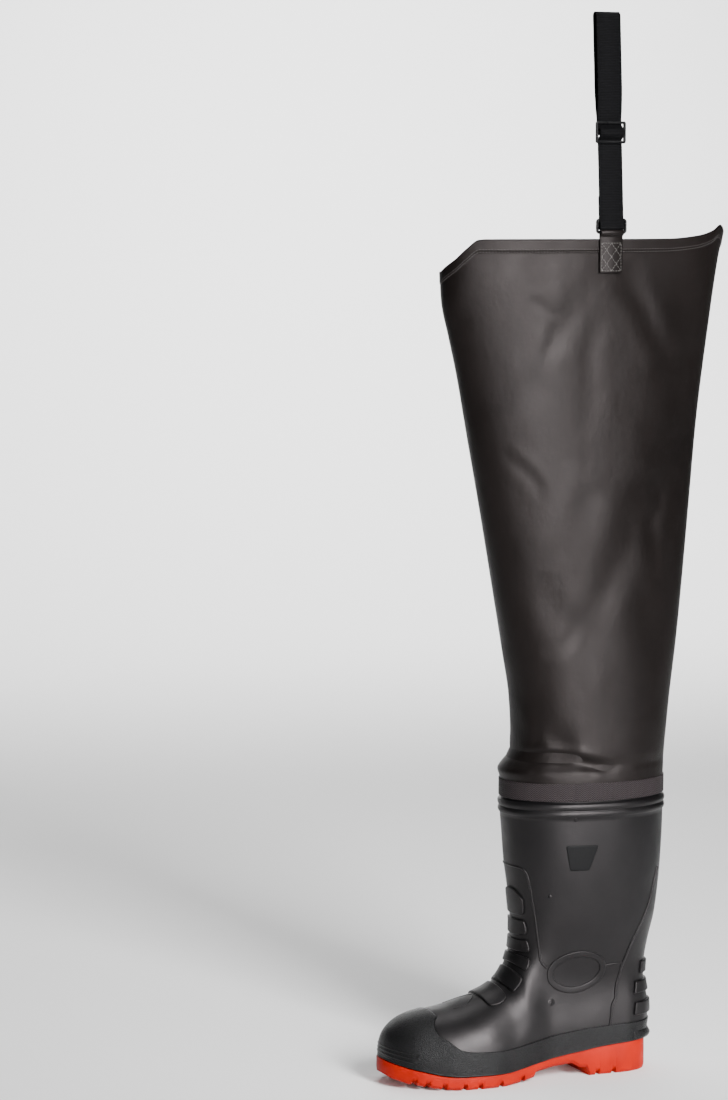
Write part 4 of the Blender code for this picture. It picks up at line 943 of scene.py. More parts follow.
def make_insole(sizes, colours):
    """The loose insole: a flat felted pad with soft edges."""
    inset = UPPER_INSET + BOOT_WALL + INSOLE_CLEARANCE
    turns = round_turns(120)
    share = 0.5 - 0.5 * np.cos(turns)
    side = side_of(turns)
    x = HEEL_BACK_X - inset - share * (OUTSOLE_LENGTH - 2.0 * inset)
    place = (HEEL_BACK_X - x) / OUTSOLE_LENGTH
    half = half_width(side, share, inset)
    low = sole_top(place) + CLEARANCE
    middle_x = HEEL_BACK_X - 0.5 * OUTSOLE_LENGTH
    rows = []
    for keep, rise in ((0.1, 0.0), (0.94, 0.0), (0.99, 0.25), (1.0, 0.5), (0.98, 0.85), (0.92, 1.0),
                       (0.6, 1.0), (0.1, 1.0)):
        rows.append(np.stack([middle_x + (x - middle_x) * keep, centre_y(place) + side * half * keep,
                              low + rise * INSOLE_THICKNESS], -1))
    points = np.array(rows)
    points[..., 2] += sole_top((HEEL_BACK_X - points[..., 0]) / OUTSOLE_LENGTH) - sole_top(place)
    mesh = grid_mesh("insole_pad", points, capped=True)
    settle(mesh, knit_lining(colours.insole), "insole")


def boot_levels(wall_rows, vamp_step, shaft_step, bead_step):
    beads = BOOT_HEIGHT + BEADS[0].height * NECK_HEIGHT
    turned = SHAFT_STARTS * INSTEP_HEIGHT
    levels = np.concatenate([
        np.linspace(0.0, FOOT_WALL, wall_rows, endpoint=False),
        rows_between(FOOT_WALL, turned, vamp_step),
        rows_between(turned, beads, shaft_step),
        np.linspace(beads, NECK_TOP, max(2, round((NECK_TOP - beads) / bead_step))),
    ])
    levels[0] = CLEARANCE
    return levels


def make_boot(sizes, colours):
    """The moulded boot as one hollow wall, with the beads at its collar."""
    turns = round_turns(BOOT_COLUMNS)
    outer_levels = boot_levels(22, 0.0022, 0.0042, 0.00055)
    inner_levels = boot_levels(8, 0.0080, 0.0160, 0.0100)[::-1]
    proud = bead_proud(outer_levels)[:, None] + np.zeros(BOOT_COLUMNS)
    outer = moved_out(boot_points, turns, outer_levels[:, None], proud)
    inner = moved_out(boot_points, turns, inner_levels[:, None],
                      np.full((len(inner_levels), BOOT_COLUMNS), -BOOT_WALL))
    points = np.concatenate([outer, inner])
    finish = smooth_pvc(colours.boot, 0.34, NICKS)
    settle(grid_mesh("boot_shell", points, wrap_rows=True), finish, "boot_upper")


def lip_level(turn):
    """Return the level of the toe cap's and rand's upper edge at a turn."""
    angle = np.arccos(np.clip(np.cos(turn), -1.0, 1.0))
    edge = smooth_curve([row.turn * math.pi for row in LIP], [row.level * INSTEP_HEIGHT for row in LIP])
    return edge(angle)


def make_rand(sizes, colours):
    """The toe cap and the rand: one raised band round the foot, with a pebbled grain."""
    turns = round_turns(RAND_COLUMNS)
    top = lip_level(turns)
    edge = ((1.00, -1.0), (1.00, 0.30), (0.9935, 0.72), (0.982, 0.94), (0.965, 1.0))
    inside = np.linspace(0.94, 0.0, 34)
    shares = np.concatenate([[share for share, _ in edge], inside, [0.0]])
    heights = np.concatenate([[height for _, height in edge], np.ones(34), [-1.0]]) * RAND_STEP
    levels = CLEARANCE + shares[:, None] * (top - CLEARANCE)
    points = moved_out(boot_points, turns, levels, heights[:, None] + np.zeros(RAND_COLUMNS))
    finish = grained_pvc(colours.boot, 0.42)
    settle(grid_mesh("toe_cap_and_rand", points, wrap_rows=True), finish, "boot_upper")
    line = facing(boot_points, turns, np.full(RAND_COLUMNS, WELT_LEVEL), RAND_STEP - RIDGE_SUNK)
    welt = strip_mesh("welt", *line, sizes.welt_width, half_round(sizes.welt_width), closed=True)
    # The welt is the boot's own PVC made 2.2 times lighter: a painted highlight along the thin ridge
    # above the sole.
    settle(welt, smooth_pvc(scaled(colours.boot, 2.2), 0.38), "boot_upper")


def half_round(width, proud=0.32, sunk=0.0008):
    """Return a half-round cross-section: shares of the half-width and heights."""
    arch = [(math.cos(angle), proud * width * math.sin(angle))
            for angle in np.linspace(0.0, math.pi, 9)]
    return [(1.0, -sunk)] + arch + [(-1.0, -sunk)]


def pad_mesh(name, place, half_length, half_width_of_pad, proud, corner=0.0025, step=0.0022):
    """Return a closed raised pad; place gives turns and levels for shares u and v from -1 to 1."""
    insets = np.array([0.0, 0.0, 0.00025, 0.0006, 0.0011, 0.0018])
    rise = np.array([-1.0, 0.30, 0.72, 0.92, 0.99, 1.0])

    def samples(half):
        start = -half + insets
        room = 2.0 * half - 2.0 * insets[-1]
        middle = np.linspace(-0.5 * room, 0.5 * room, max(3, round(room / step)))[1:-1]
        return np.concatenate([start, middle, -start[::-1]])

    s, t = np.meshgrid(samples(half_length), samples(half_width_of_pad))
    corner = min(corner, 0.9 * half_width_of_pad, 0.9 * half_length)
    p = np.clip((np.abs(s) - half_length + corner) / corner, 0.0, 1.0)
    q = np.clip((np.abs(t) - half_width_of_pad + corner) / corner, 0.0, 1.0)
    s = np.sign(s) * (np.abs(s) + corner * p * (np.sqrt(1.0 - 0.5 * q * q) - 1.0))
    t = np.sign(t) * (np.abs(t) + corner * q * (np.sqrt(1.0 - 0.5 * p * p) - 1.0))
    rows, columns = s.shape
    i = np.minimum(np.arange(rows), np.arange(rows)[::-1])[:, None]
    j = np.minimum(np.arange(columns), np.arange(columns)[::-1])[None, :]
    height = rise[np.minimum(np.minimum(i, j), len(rise) - 1)]
    height = np.where(height < 0.0, -PAD_SUNK, height * proud)
    turn, level = place(s / half_length, t / half_width_of_pad)
    top = moved_out(boot_points, turn, level, height)
    under = moved_out(boot_points, turn, level, np.full(s.shape, -PAD_SUNK))[::-1]
    mesh = grid_mesh(name, np.concatenate([top, under]), wrap_rows=True, wrap_columns=False)
    face_out(mesh, merged=True)
    return mesh


def rib_place(rib):
    """Return the place function of a rib that crosses the boot's front."""
    turns, levels = side_place(rib.end)
    keys = np.linspace(0.0, 1.0, len(rib.end))
    end_turn, end_level = smooth_curve(keys, turns), smooth_curve(keys, levels)
    low, high = rib.crest_low * INSTEP_HEIGHT, rib.crest_high * INSTEP_HEIGHT

    def place(u, v):
        share = 0.5 + 0.5 * v
        end = end_turn(share)
        turn = end * np.abs(u)
        reach = (1.0 - np.cos(turn)) / (1.0 - np.cos(end))
        level = blend(blend(low, high, share), end_level(share), reach)
        return np.where(u < 0.0, turn, -turn), level

    return place


def make_ribs(sizes, colours):
    """The shin's ribs, six pads that cross the front of the boot."""
    made = []
    for rib in SHIN_RIBS:
        place = rib_place(rib)
        u = np.linspace(-1.0, 1.0, 60)
        line = boot_points(*place(u, np.zeros(60)))
        length = lengths_along(line)[-1]
        v = np.linspace(-1.0, 1.0, 20)
        cross = boot_points(*place(np.full(20, 0.5), v))
        breadth = lengths_along(cross)[-1]
        made.append(pad_mesh("rib", place, 0.5 * length, 0.5 * breadth, sizes.rib_proud, 0.0035))
    group(made, "shin_ribs", smooth_pvc(colours.boot, 0.36))


def group(meshes, name, finish):
    """Join raised meshes and dress them as one piece of the boot."""
    made = [linked(mesh.name, mesh) for mesh in meshes]
    select(*made)
    bpy.ops.object.join()
    made[0].name = name
    made[0].data.name = name
    return finish_piece(made[0], finish, "boot_upper")


def make_heel_blocks(sizes, colours):
    """The three blocks across the heel's back and the kick spur under them."""
    made = []
    for block in BACK_BLOCKS:
        ends, _ = side_place([(block.along, 0.5 * (block.low + block.high))])
        half_turn = math.pi - ends[0]
        low, high = block.low * INSTEP_HEIGHT, block.high * INSTEP_HEIGHT

        def place(u, v):
            turn = math.pi - u * half_turn
            return turn, back_level(turn, blend(low, high, 0.5 + 0.5 * v))

        line = boot_points(*place(np.linspace(-1.0, 1.0, 60), np.zeros(60)))
        half_length = 0.5 * lengths_along(line)[-1]
        half_height = 0.5 * (high - low)
        made.append(pad_mesh("block", place, half_length, half_height, sizes.block_proud, 0.0015))
    group(made, "heel_blocks", smooth_pvc(colours.boot, 0.36))
    turns = np.linspace(math.pi - SPUR_TURN, math.pi + SPUR_TURN, 61)
    reach = np.cos(0.5 * math.pi * (turns - math.pi) / (SPUR_TURN + 0.02)) ** 0.8
    profile = ((0.300, -0.8), (0.318, 0.15), (0.345, 0.72), (0.364, 0.97), (0.374, 1.00), (0.384, 0.97),
               (0.404, 0.62), (0.430, 0.15), (0.446, -0.8))
    rows = []
    for height, share in profile:
        proud = np.where(share > 0.0, RAND_STEP + (SPUR_STEP - RAND_STEP) * share * reach, -0.001)
        level = back_level(turns, height * INSTEP_HEIGHT)
        rows.append(moved_out(boot_points, turns, level, proud + np.zeros_like(turns)))
    points = np.array(rows).transpose(1, 0, 2)
    settle(grid_mesh("kick_spur", points, capped=True), grained_pvc(colours.boot, 0.4), "boot_upper")


def make_ankle_ovals(sizes, colours):
    """The oval band on each ankle, with a soft hollow inside it."""
    angle = round_turns(160)
    a = (OVAL_LENGTH * OUTSOLE_LENGTH - 0.5 * OVAL_BAND) * np.cos(angle)
    b = (OVAL_RISE * OUTSOLE_LENGTH - 0.5 * OVAL_BAND) * np.sin(angle)
    x = HEEL_BACK_X - OVAL_ALONG * OUTSOLE_LENGTH + a * math.cos(OVAL_TILT) - b * math.sin(OVAL_TILT)
    z = OVAL_HEIGHT * OUTSOLE_LENGTH + a * math.sin(OVAL_TILT) + b * math.cos(OVAL_TILT)
    half = [(1.0, 0.35), (0.93, 0.8), (0.8, 1.0), (0.4, 1.04), (0.0, 1.05)]
    rising = [(1.0, -0.001)] + [(across, share * sizes.oval_proud) for across, share in half]
    profile = rising + [(-across, height) for across, height in rising[-2::-1]]
    made = []
    for side in (OUTER, INNER):
        line = facing(boot_points, *boot_place(x, z, side))
        made.append(strip_mesh("oval", *line, OVAL_BAND, profile, closed=True))
    group(made, "ankle_ovals", smooth_pvc(colours.boot, 0.34))


def make_lines(sizes, colours):
    """The moulded lines of the shaft's panels, each a thin half-round ridge."""
    made = []
    for line in PANEL_LINES:
        for side in (OUTER, INNER):
            turns, levels = side_place(line.corners, side)
            if line.crosses_front:
                front = np.array([0.0, 0.5]) * turns[0]
                turns = np.concatenate([front, turns])
                levels = np.concatenate([[levels[0], levels[0]], levels])
            track = boot_line(turns, levels, 20 + 12 * len(line.corners))
            made.append(strip_mesh(line.name, *track, line.width, half_round(line.width, line.proud)))
    group(made, "panel_lines", smooth_pvc(colours.boot, 0.36))


def make_plate(sizes, colours):
    """The bare raised plate on the outer side of the shaft."""
    low_front, low_back, high_back, high_front = np.array(PLATE)

    def place(u, v):
        across, up = 0.5 + 0.5 * u[..., None], 0.5 + 0.5 * v[..., None]
        corner = blend(blend(low_front, low_back, across), blend(high_front, high_back, across), up)
        return side_place(corner)

    half_length = 0.5 * (PLATE[3][0] - PLATE[2][0]) * OUTSOLE_LENGTH
    half_height = 0.5 * (PLATE[2][1] - PLATE[1][1]) * INSTEP_HEIGHT
    mesh = pad_mesh("shaft_plate", place, half_length, half_height, sizes.plate_proud, 0.0030, 0.0016)
    settle(mesh, gloss_plastic("Plate plastic", colours.hardware, 0.5), "boot_upper")


def make_bumper(sizes, colours):
    """The fine ridges across the toe's bumper."""
    made = []
    turns = np.linspace(-BUMPER_TURN, BUMPER_TURN, 61)
    for number in range(3):
        level = np.full_like(turns, (0.115 + 0.075 * number) * INSTEP_HEIGHT)
        line = facing(boot_points, turns, level, RAND_STEP - RIDGE_SUNK)
        made.append(strip_mesh("ridge", *line, BUMPER_RIDGE, half_round(BUMPER_RIDGE)))
    group(made, "toe_bumper", grained_pvc(colours.boot, 0.38))


# Leg, tape and fittings

def creased(points):
    """Move the leg's points by the listed creases of its sides."""
    moved = points.copy()
    along = (points[..., 0] - LEG_X) / LEG_TOP_LENGTH
    rise = (points[..., 2] - LEG_BOTTOM) / LEG_SPAN
    height = LEG_SPAN / LEG_TOP_LENGTH
    for crease in CREASES:
        line = smooth_track(crease.track, CREASE_STEPS)
        away = np.full(along.shape, math.inf)
        beside = np.zeros(along.shape)
        strength = np.zeros(along.shape)
        for k in range(len(line) - 1):
            start, end = line[k], line[k + 1]
            run = np.array([end[0] - start[0], (end[1] - start[1]) * height])
            offset = np.stack([along - start[0], (rise - start[1]) * height], -1)
            t = np.clip(offset @ run / max(run @ run, 1e-12), 0.0, 1.0)
            gap = offset - t[..., None] * run
            distance = np.hypot(gap[..., 0], gap[..., 1])
            nearer = distance < away
            away = np.where(nearer, distance, away)
            turned = np.sign(run[0] * offset[..., 1] - run[1] * offset[..., 0])
            beside = np.where(nearer, turned, beside)
            share = (k + t) / (len(line) - 1)
            strength = np.where(nearer, np.sin(math.pi * np.clip(share, 0.0, 1.0)) ** 0.7, strength)
        off = away * beside * LEG_TOP_LENGTH / crease.width
        near_ridge = np.exp(-(off - CREASE_RIDGE) ** 2 / 0.8)
        far_ridge = FAR_RIDGE * np.exp(-(off + CREASE_RIDGE) ** 2 / 0.8)
        shape = np.exp(-off * off) - crease.ridge * (near_ridge + far_ridge)
        on_side = crease.side * points[..., 1] > 0.0
        edge = smoothstep(np.abs(points[..., 1]), 0.002, 0.014)
        deep = np.where(on_side, crease.depth * shape * strength * edge, 0.0)
        moved[..., 1] -= crease.side * deep
    return moved


def smooth_track(track, count):
    """Return points along a smooth line through a crease's corners."""
    corners = np.array(track, float)
    keys = np.arange(len(corners))
    place = np.linspace(0, len(corners) - 1, count)
    return np.stack([smooth_curve(keys, corners[:, k])(place) for k in (0, 1)], -1)


def make_leg(sizes, colours):
    """The leg of coated cloth: a thin tube with its folds and its turned hem."""
    hem = 1.0 - HEM_DEPTH / LEG_SPAN
    turns = round_turns(LEG_COLUMNS)
    near = np.concatenate([np.linspace(0.0, 0.14, 44, endpoint=False), np.linspace(0.14, hem, 150)])
    rises = np.concatenate([near, [hem + 0.0006, hem + 0.0012], np.linspace(hem + 0.004, 1.0, 6),
                            [1.0, 1.0], np.linspace(0.995, 0.0, 46)])
    outs = np.concatenate([np.zeros(len(near)), [0.6 * HEM_STEP, HEM_STEP], np.full(6, HEM_STEP),
                           [0.0, -LEG_WALL], np.full(46, -LEG_WALL)])
    rises[len(near) + 8] += 0.0006
    points = moved_out(leg_points, turns, rises[:, None], outs[:, None] + np.zeros(LEG_COLUMNS))
    around = np.linspace(0.0, 1.0, LEG_COLUMNS + 1) * 2.0 * (LEG_TOP_LENGTH + 0.02)
    uv = np.stack(np.broadcast_arrays(around, (rises * LEG_SPAN)[:, None]), -1)
    uv = np.concatenate([uv, uv[:1]])
    mesh = grid_mesh("leg_cloth", creased(points), wrap_rows=True, uv=uv)
    leg = settle(mesh, coated_cloth(colours.cloth, 0.44), "leg_sleeve")
    stitches(sizes, colours)


def stitches(sizes, colours):
    """The hem's double row of stitches, each a short raised bar of thread."""
    ends, rises = [], []
    turns = round_turns(1600)
    for drop in (sizes.hem_seam, sizes.hem_seam + HEM_ROWS):
        rise = 1.0 - drop / LEG_SPAN
        line = creased(leg_points(turns, rise))
        length = lengths_along(np.concatenate([line, line[:1]]))
        count = int(length[-1] / sizes.stitch_pitch)
        for number in range(count):
            start = length[-1] * number / count
            ends.append(np.interp([start, start + STITCH_SHARE * sizes.stitch_pitch], length,
                                  np.arange(len(length)) * FULL_TURN / len(turns)))
            rises.append(rise)
    ends, rises = np.array(ends), np.array(rises)
    turns = blend(ends[:, :1], ends[:, 1:], BAR_SHARES)
    level = rises[:, None] + np.zeros_like(turns)
    low, way = facing(leg_points, turns, level, HEM_STEP)
    flat = creased(low)
    normal = (creased(low + way * PROBE) - flat) / PROBE
    lift = np.array([0.15, 0.8, 1.0, 0.8, 0.15]) * sizes.thread_width * 0.55
    finish = thread("Dark thread", colours.thread)
    bars("hem_stitches", flat, normal, lift, sizes.thread_width, finish, "leg_sleeve")


def bars(name, centre, normal, lift, width, finish, node):
    """Make small bars along rows of points: each has a square section that its lift raises."""
    run = np.gradient(centre, axis=1)
    run /= np.maximum(np.linalg.norm(run, axis=-1, keepdims=True), 1e-12)
    across = np.cross(normal, run) * 0.5 * width
    raised = centre + normal * lift[None, :, None]
    low = centre - normal * 0.0002
    section = np.stack([low + across, raised + 0.7 * across, raised - 0.7 * across, low - across], 2)
    count, steps = section.shape[:2]
    faces = []
    for bar in range(count):
        base = bar * steps * 4
        for k in range(steps - 1):
            for c in range(4):
                a, b = base + 4 * k + c, base + 4 * k + (c + 1) % 4
                faces.append((a, b, b + 4, a + 4))
        faces.append((base + 3, base + 2, base + 1, base))
        last = base + 4 * (steps - 1)
        faces.append((last, last + 1, last + 2, last + 3))
    mesh = bpy.data.meshes.new(name)
    mesh.from_pydata(section.reshape(-1, 3).tolist(), [], faces)
    face_out(mesh)
    settle(mesh, finish, node)


def make_tape(sizes, colours):
    """The woven tape over the join of leg and boot, and its overlapped end."""
    finish = herringbone_tape(colours.tape)
    turns = round_turns(LEG_COLUMNS)
    low = CLEARANCE / LEG_SPAN
    high = low + TAPE_HEIGHT / LEG_SPAN
    heights = np.concatenate([[0.0, 0.0, 0.02], np.linspace(0.06, 0.94, 12), [0.98, 1.0, 1.0],
                              np.linspace(0.9, 0.1, 5)])
    outs = np.concatenate([[0.0, 0.6, 0.95], np.ones(12), [0.95, 0.6, 0.0], np.zeros(5)])
    front = len(heights) - 5
    rises = blend(low, high, heights)
    proud = CLEARANCE + TAPE_THICKNESS * outs
    points = moved_out(leg_points, turns, rises[:, None], proud[:, None] + np.zeros(LEG_COLUMNS))
    points = creased(points)
    first = points[3]
    around = lengths_along(np.concatenate([first, first[:1]]))
    uv = np.stack(np.broadcast_arrays(around, (rises * LEG_SPAN)[:, None]), -1)
    uv = np.concatenate([uv, uv[:1]])
    tape = settle(grid_mesh("join_tape", points, wrap_rows=True, uv=uv), finish, "seam_tape")
    ends = np.linspace(sizes.tape_end - sizes.tape_lap / (0.5 * COLLAR_LENGTH), sizes.tape_end, LAP_STEPS)
    onto = np.linspace(0.0, 1.0, LAP_STEPS)
    rows = []
    for share, out in zip(heights[:front], outs[:front]):
        level = blend(low, high, share) + LAP_RISE * onto / LEG_SPAN
        proud = CLEARANCE + TAPE_THICKNESS * (out * (1.0 + onto) + 0.5 * onto * (1.0 - out))
        rows.append(creased(moved_out(leg_points, ends, level, proud)))
    points = np.array(rows).transpose(1, 0, 2)
    lap_around = np.linspace(0.0, sizes.tape_lap, LAP_STEPS)[:, None]
    lap_height = (heights[:front] * TAPE_HEIGHT)[None, :]
    uv = np.stack(np.broadcast_arrays(lap_around + LAP_SHIFT, lap_height), -1)
    uv = np.concatenate([uv, uv[:, :1]], 1)
    lap = settle(grid_mesh("tape_lap", points, capped=True, uv=uv), finish, "seam_tape")


def ribbon(path, width, thickness, middle_x):
    """Return a strip's rows: path is (y, z) points, and its rounded section lies across X."""
    path = np.array(path)
    run = np.gradient(path, axis=0)
    run /= np.linalg.norm(run, axis=1, keepdims=True)
    out = np.stack([-run[:, 1], run[:, 0]], -1)
    x = np.array([middle_x(z) for _, z in path])
    half, thick = 0.5 * width, 0.5 * thickness
    edge = 0.35 * thickness
    section = [(half - edge, thick), (half, 0.4 * thick), (half, -0.4 * thick), (half - edge, -thick),
               (0.0, -thick), (edge - half, -thick), (-half, -0.4 * thick), (-half, 0.4 * thick),
               (edge - half, thick), (0.0, thick)]
    rows = np.stack([np.stack([x + a, path[:, 0] + out[:, 0] * b, path[:, 1] + out[:, 1] * b], -1)
                     for a, b in section], 1)
    length = lengths_along(path)
    across = np.array([a for a, _ in section] + [section[0][0]])
    uv = np.stack(np.broadcast_arrays(across[None, :], length[:, None]), -1)
    return rows, uv[..., ::-1]


def resampled(path, step):
    """Return a path's points at even steps on a smooth line through them."""
    path = np.array(path)
    lengths = lengths_along(path)
    keep = np.concatenate([[True], np.diff(lengths) > 1e-6])
    path, lengths = path[keep], lengths[keep]
    place = np.linspace(0.0, lengths[-1], max(8, round(lengths[-1] / step)))
    return np.stack([smooth_curve(lengths, path[:, k])(place) for k in (0, 1)], -1)


def arc(y, z, radius, start, end, steps=8):
    angles = [math.radians(blend(start, end, i / steps)) for i in range(steps + 1)]
    return [(y + radius * math.cos(angle), z + radius * math.sin(angle)) for angle in angles]


def strap_x(z):
    return LEG_X + STRAP_X + STRAP_LEAN * (z - LEG_HEIGHT)


def wrap_radius(thickness):
    return 0.5 * RING_WIRE + CLEARANCE + 0.5 * thickness


def tab_plane():
    return -0.5 * LEG_TOP_WIDTH - HEM_STEP - CLEARANCE - 0.5 * TAB_THICKNESS


def ring_place():
    low = LEG_HEIGHT + RING_RISE
    return tab_plane() - wrap_radius(TAB_THICKNESS), low, low + RING_HEIGHT - RING_WIRE


def make_tab(sizes, colours):
    """The hanger tab folded over the ring, with its boxed cross of stitches."""
    y, low, _ = ring_place()
    wrap = wrap_radius(TAB_THICKNESS)
    back = tab_plane()
    front = back - TAB_THICKNESS - CLEARANCE
    bottom = LEG_HEIGHT - TAB_LENGTH
    path = [(back, bottom), (back, LEG_HEIGHT - 0.3 * TAB_LENGTH), (back, low - wrap)]
    path += arc(y, low, wrap, 0.0, 180.0 + WRAP_ANGLE, 16)
    path += [(front, low - 1.9 * wrap), (front, LEG_HEIGHT - 0.5 * TAB_LENGTH), (front, bottom)]
    rows, uv = ribbon(resampled(path, 0.0008), TAB_WIDTH, TAB_THICKNESS, lambda z: strap_x(LEG_HEIGHT))
    mesh = grid_mesh("hanger_loop", rows, capped=True, uv=uv)
    settle(mesh, coated_cloth(scaled(colours.cloth, 0.8), 0.5), "hanger_tab")
    middle = strap_x(LEG_HEIGHT)
    half = 0.5 * TAB_WIDTH - SEAM_INSET
    high, deep = LEG_HEIGHT - SEAM_DROP, bottom + SEAM_INSET
    left, right = middle - half, middle + half
    box = [(left, deep), (right, deep), (right, high), (left, high)]
    corners = list(zip(box, box[1:] + box[:1]))
    for column in (0, 1):
        for row in (0, 1):
            x0, x1 = left + half * column, left + half * (column + 1)
            z0 = deep + 0.5 * (high - deep) * row
            z1 = z0 + 0.5 * (high - deep)
            corners += [((x0, z0), (x1, z1)), ((x0, z1), (x1, z0))]
    lift = np.array([0.1, 0.8, 1.0, 0.8, 0.1]) * sizes.thread_width * 0.6
    centres = []
    for (x0, z0), (x1, z1) in corners:
        count = max(2, round(math.hypot(x1 - x0, z1 - z0) / sizes.stitch_pitch))
        for number in range(count):
            part = (number + TAB_STITCH_SHARE * BAR_SHARES) / count
            y = np.full_like(part, front - 0.5 * TAB_THICKNESS)
            centres.append(np.stack([blend(x0, x1, part), y, blend(z0, z1, part)], -1))
    centres = np.array(centres)
    normal = np.zeros_like(centres)
    normal[..., 1] = -1.0
    finish = thread("Pale thread", colours.tab_thread)
    bars("tab_stitches", centres, normal, lift, sizes.thread_width, finish, "hanger_tab")


def make_ring(sizes, colours):
    """The ring: a round wire bent to a rectangle, its ends met in the lower bar."""
    y, low, high = ring_place()
    half = 0.5 * WEBBING_WIDTH + SIDE_ROOM + 0.5 * RING_WIRE
    corner = SIDE_ROOM + 0.5 * RING_WIRE
    centre_x = strap_x(0.5 * (low + high))
    line = []
    for quarter, (side, z) in enumerate(((1, low), (1, high), (-1, high), (-1, low))):
        for i in range(9):
            angle = math.pi * (quarter - 1) / 2.0 + math.pi / 2.0 * i / 8.0
            line.append((centre_x + side * (half - corner) + corner * math.cos(angle), y,
                         z + (corner if z == low else -corner) + corner * math.sin(angle)))
    line = np.array(line)
    normal = np.zeros_like(line)
    normal[:, 1] = -1.0
    profile = [(math.cos(a), 0.5 * RING_WIRE * math.sin(a)) for a in round_turns(20)]
    mesh = strip_mesh("wire_ring", line, normal, RING_WIRE, profile, closed=True)
    finish = gloss_plastic("Gloss ring", colours.hardware, 0.22)
    settle(mesh, finish, "strap_ring")


def make_slider(sizes, colours):
    """The three-bar slider: a plate with two windows, all its edges rounded."""
    place = Vector((strap_x(SLIDER_Z), slider_y(), SLIDER_Z))
    width = WEBBING_WIDTH + 2.0 * SIDE_ROOM + 2.0 * SLIDER_BAR
    window = 0.5 * (SLIDER_HEIGHT - 3.0 * SLIDER_BAR)
    x_places = [-0.5 * width, SLIDER_BAR - 0.5 * width, 0.5 * width - SLIDER_BAR, 0.5 * width]
    z_places = [-0.5 * SLIDER_HEIGHT, SLIDER_BAR - 0.5 * SLIDER_HEIGHT]
    z_places += [z_places[-1] + window, z_places[-1] + window + SLIDER_BAR]
    z_places += [0.5 * SLIDER_HEIGHT - SLIDER_BAR, 0.5 * SLIDER_HEIGHT]
    shell = bmesh.new()
    layers = []
    for y in (-0.5 * SLIDER_THICKNESS, 0.5 * SLIDER_THICKNESS):
        layers.append([[shell.verts.new(place + Vector((x, y, z))) for x in x_places] for z in z_places])
    for r in range(5):
        for c in range(3):
            if c == 1 and r in (1, 3):
                continue
            for layer in layers:
                shell.faces.new((layer[r][c], layer[r][c + 1], layer[r + 1][c + 1], layer[r + 1][c]))
    front_edges = [edge for edge in shell.edges
                   if len(edge.link_faces) == 1 and edge.verts[0].co.y < place.y]
    pair = dict(zip(sum(layers[0], []), sum(layers[1], [])))
    for edge in front_edges:
        a, b = edge.verts
        shell.faces.new((a, b, pair[b], pair[a]))
    corners = []
    for edge in shell.edges:
        middle = 0.5 * (edge.verts[0].co + edge.verts[1].co) - place
        if abs(middle.x) > 0.499 * width and abs(middle.z) > 0.499 * SLIDER_HEIGHT:
            corners.append(edge)
    bmesh.ops.bevel(shell, geom=corners, offset=0.85 * SLIDER_BAR, segments=4, profile=0.5,
                    affect="EDGES")
    bmesh.ops.recalc_face_normals(shell, faces=shell.faces)
    mesh = bpy.data.meshes.new("bar_slider")
    shell.to_mesh(mesh)
    shell.free()
    finish = gloss_plastic("Moulded slider", colours.hardware, 0.30)
    slider = settle(mesh, finish, "strap_slider")
    round_edges(slider, 0.24 * SLIDER_BAR, 60.0, 3)
    sharpen(slider, 50.0)


def slider_aside():
    return math.hypot(0.5 * SLIDER_BAR, 0.5 * SLIDER_THICKNESS) + CLEARANCE + 0.5 * WEBBING_THICKNESS


def strap_plane():
    return ring_place()[0] - 0.5 * WEBBING_THICKNESS


def slider_y():
    return strap_plane() - slider_aside()


def strap_path():
    """Return the webbing's path from its sewn tail through the ring and slider to the belt loop."""
    y, _, bar = ring_place()
    wrap = wrap_radius(WEBBING_THICKNESS)
    front = strap_plane()
    tail = front + WEBBING_THICKNESS + CLEARANCE
    path = [(tail, bar + TAIL_LENGTH), (tail, bar + 1.5 * wrap)]
    path += arc(y, bar - STRAP_SLACK, wrap, 0.0, -180.0, 14)
    path += [(front, bar + 1.5 * wrap), (front, bar + TAIL_LENGTH)]
    path += [(front, SLIDER_Z - 0.8 * SLIDER_HEIGHT)]
    middle = slider_y()
    layer = WEBBING_THICKNESS + CLEARANCE
    behind = middle + slider_aside() + 0.1 * layer
    outer_edge = 0.5 * SLIDER_HEIGHT
    window = SLIDER_Z - outer_edge + SLIDER_BAR + CLEARANCE
    rising = [(behind, SLIDER_Z - 1.05 * outer_edge), (behind, window)]
    path += rising
    path += arc(middle, SLIDER_Z, slider_aside() + layer, 180.0 + PASS_ANGLE, 180.0 - PASS_ANGLE)
    path += [(behind, 2.0 * SLIDER_Z - z) for _, z in reversed(rising)]
    loop_front = behind - 0.5 * BELT_LOOP_GAP
    loop_back = loop_front + BELT_LOOP_GAP + WEBBING_THICKNESS
    radius = 0.5 * (loop_back - loop_front)
    top = STRAP_TOP - radius - 0.5 * WEBBING_THICKNESS
    rise = top - SLIDER_Z
    path += [(blend(behind, loop_front, 0.5), SLIDER_Z + 0.20 * rise),
             (loop_front, SLIDER_Z + 0.40 * rise), (loop_front, SLIDER_Z + 0.80 * rise)]
    path += arc(loop_front + radius, top, radius, 180.0, 0.0, 12)
    rear = behind + 1.1 * layer
    path += [(loop_back, SLIDER_Z + 0.80 * rise), (loop_back, SLIDER_Z + 0.40 * rise),
             (blend(rear, loop_back, 0.5), SLIDER_Z + 0.20 * rise), (rear, SLIDER_Z + 1.05 * outer_edge),
             (rear, SLIDER_Z + 0.7 * outer_edge)]
    return path + arc(middle, SLIDER_Z, slider_aside(), 15.0, -180.0, 12)


def make_strap(sizes, colours):
    """The belt strap: one flat webbing, wrapped round its ring and slider."""
    rows, uv = ribbon(resampled(strap_path(), 0.0011), WEBBING_WIDTH, WEBBING_THICKNESS, strap_x)
    mesh = grid_mesh("belt_webbing", rows, capped=True, uv=uv)
    settle(mesh, ribbed_webbing(colours.webbing), "webbing_strap")


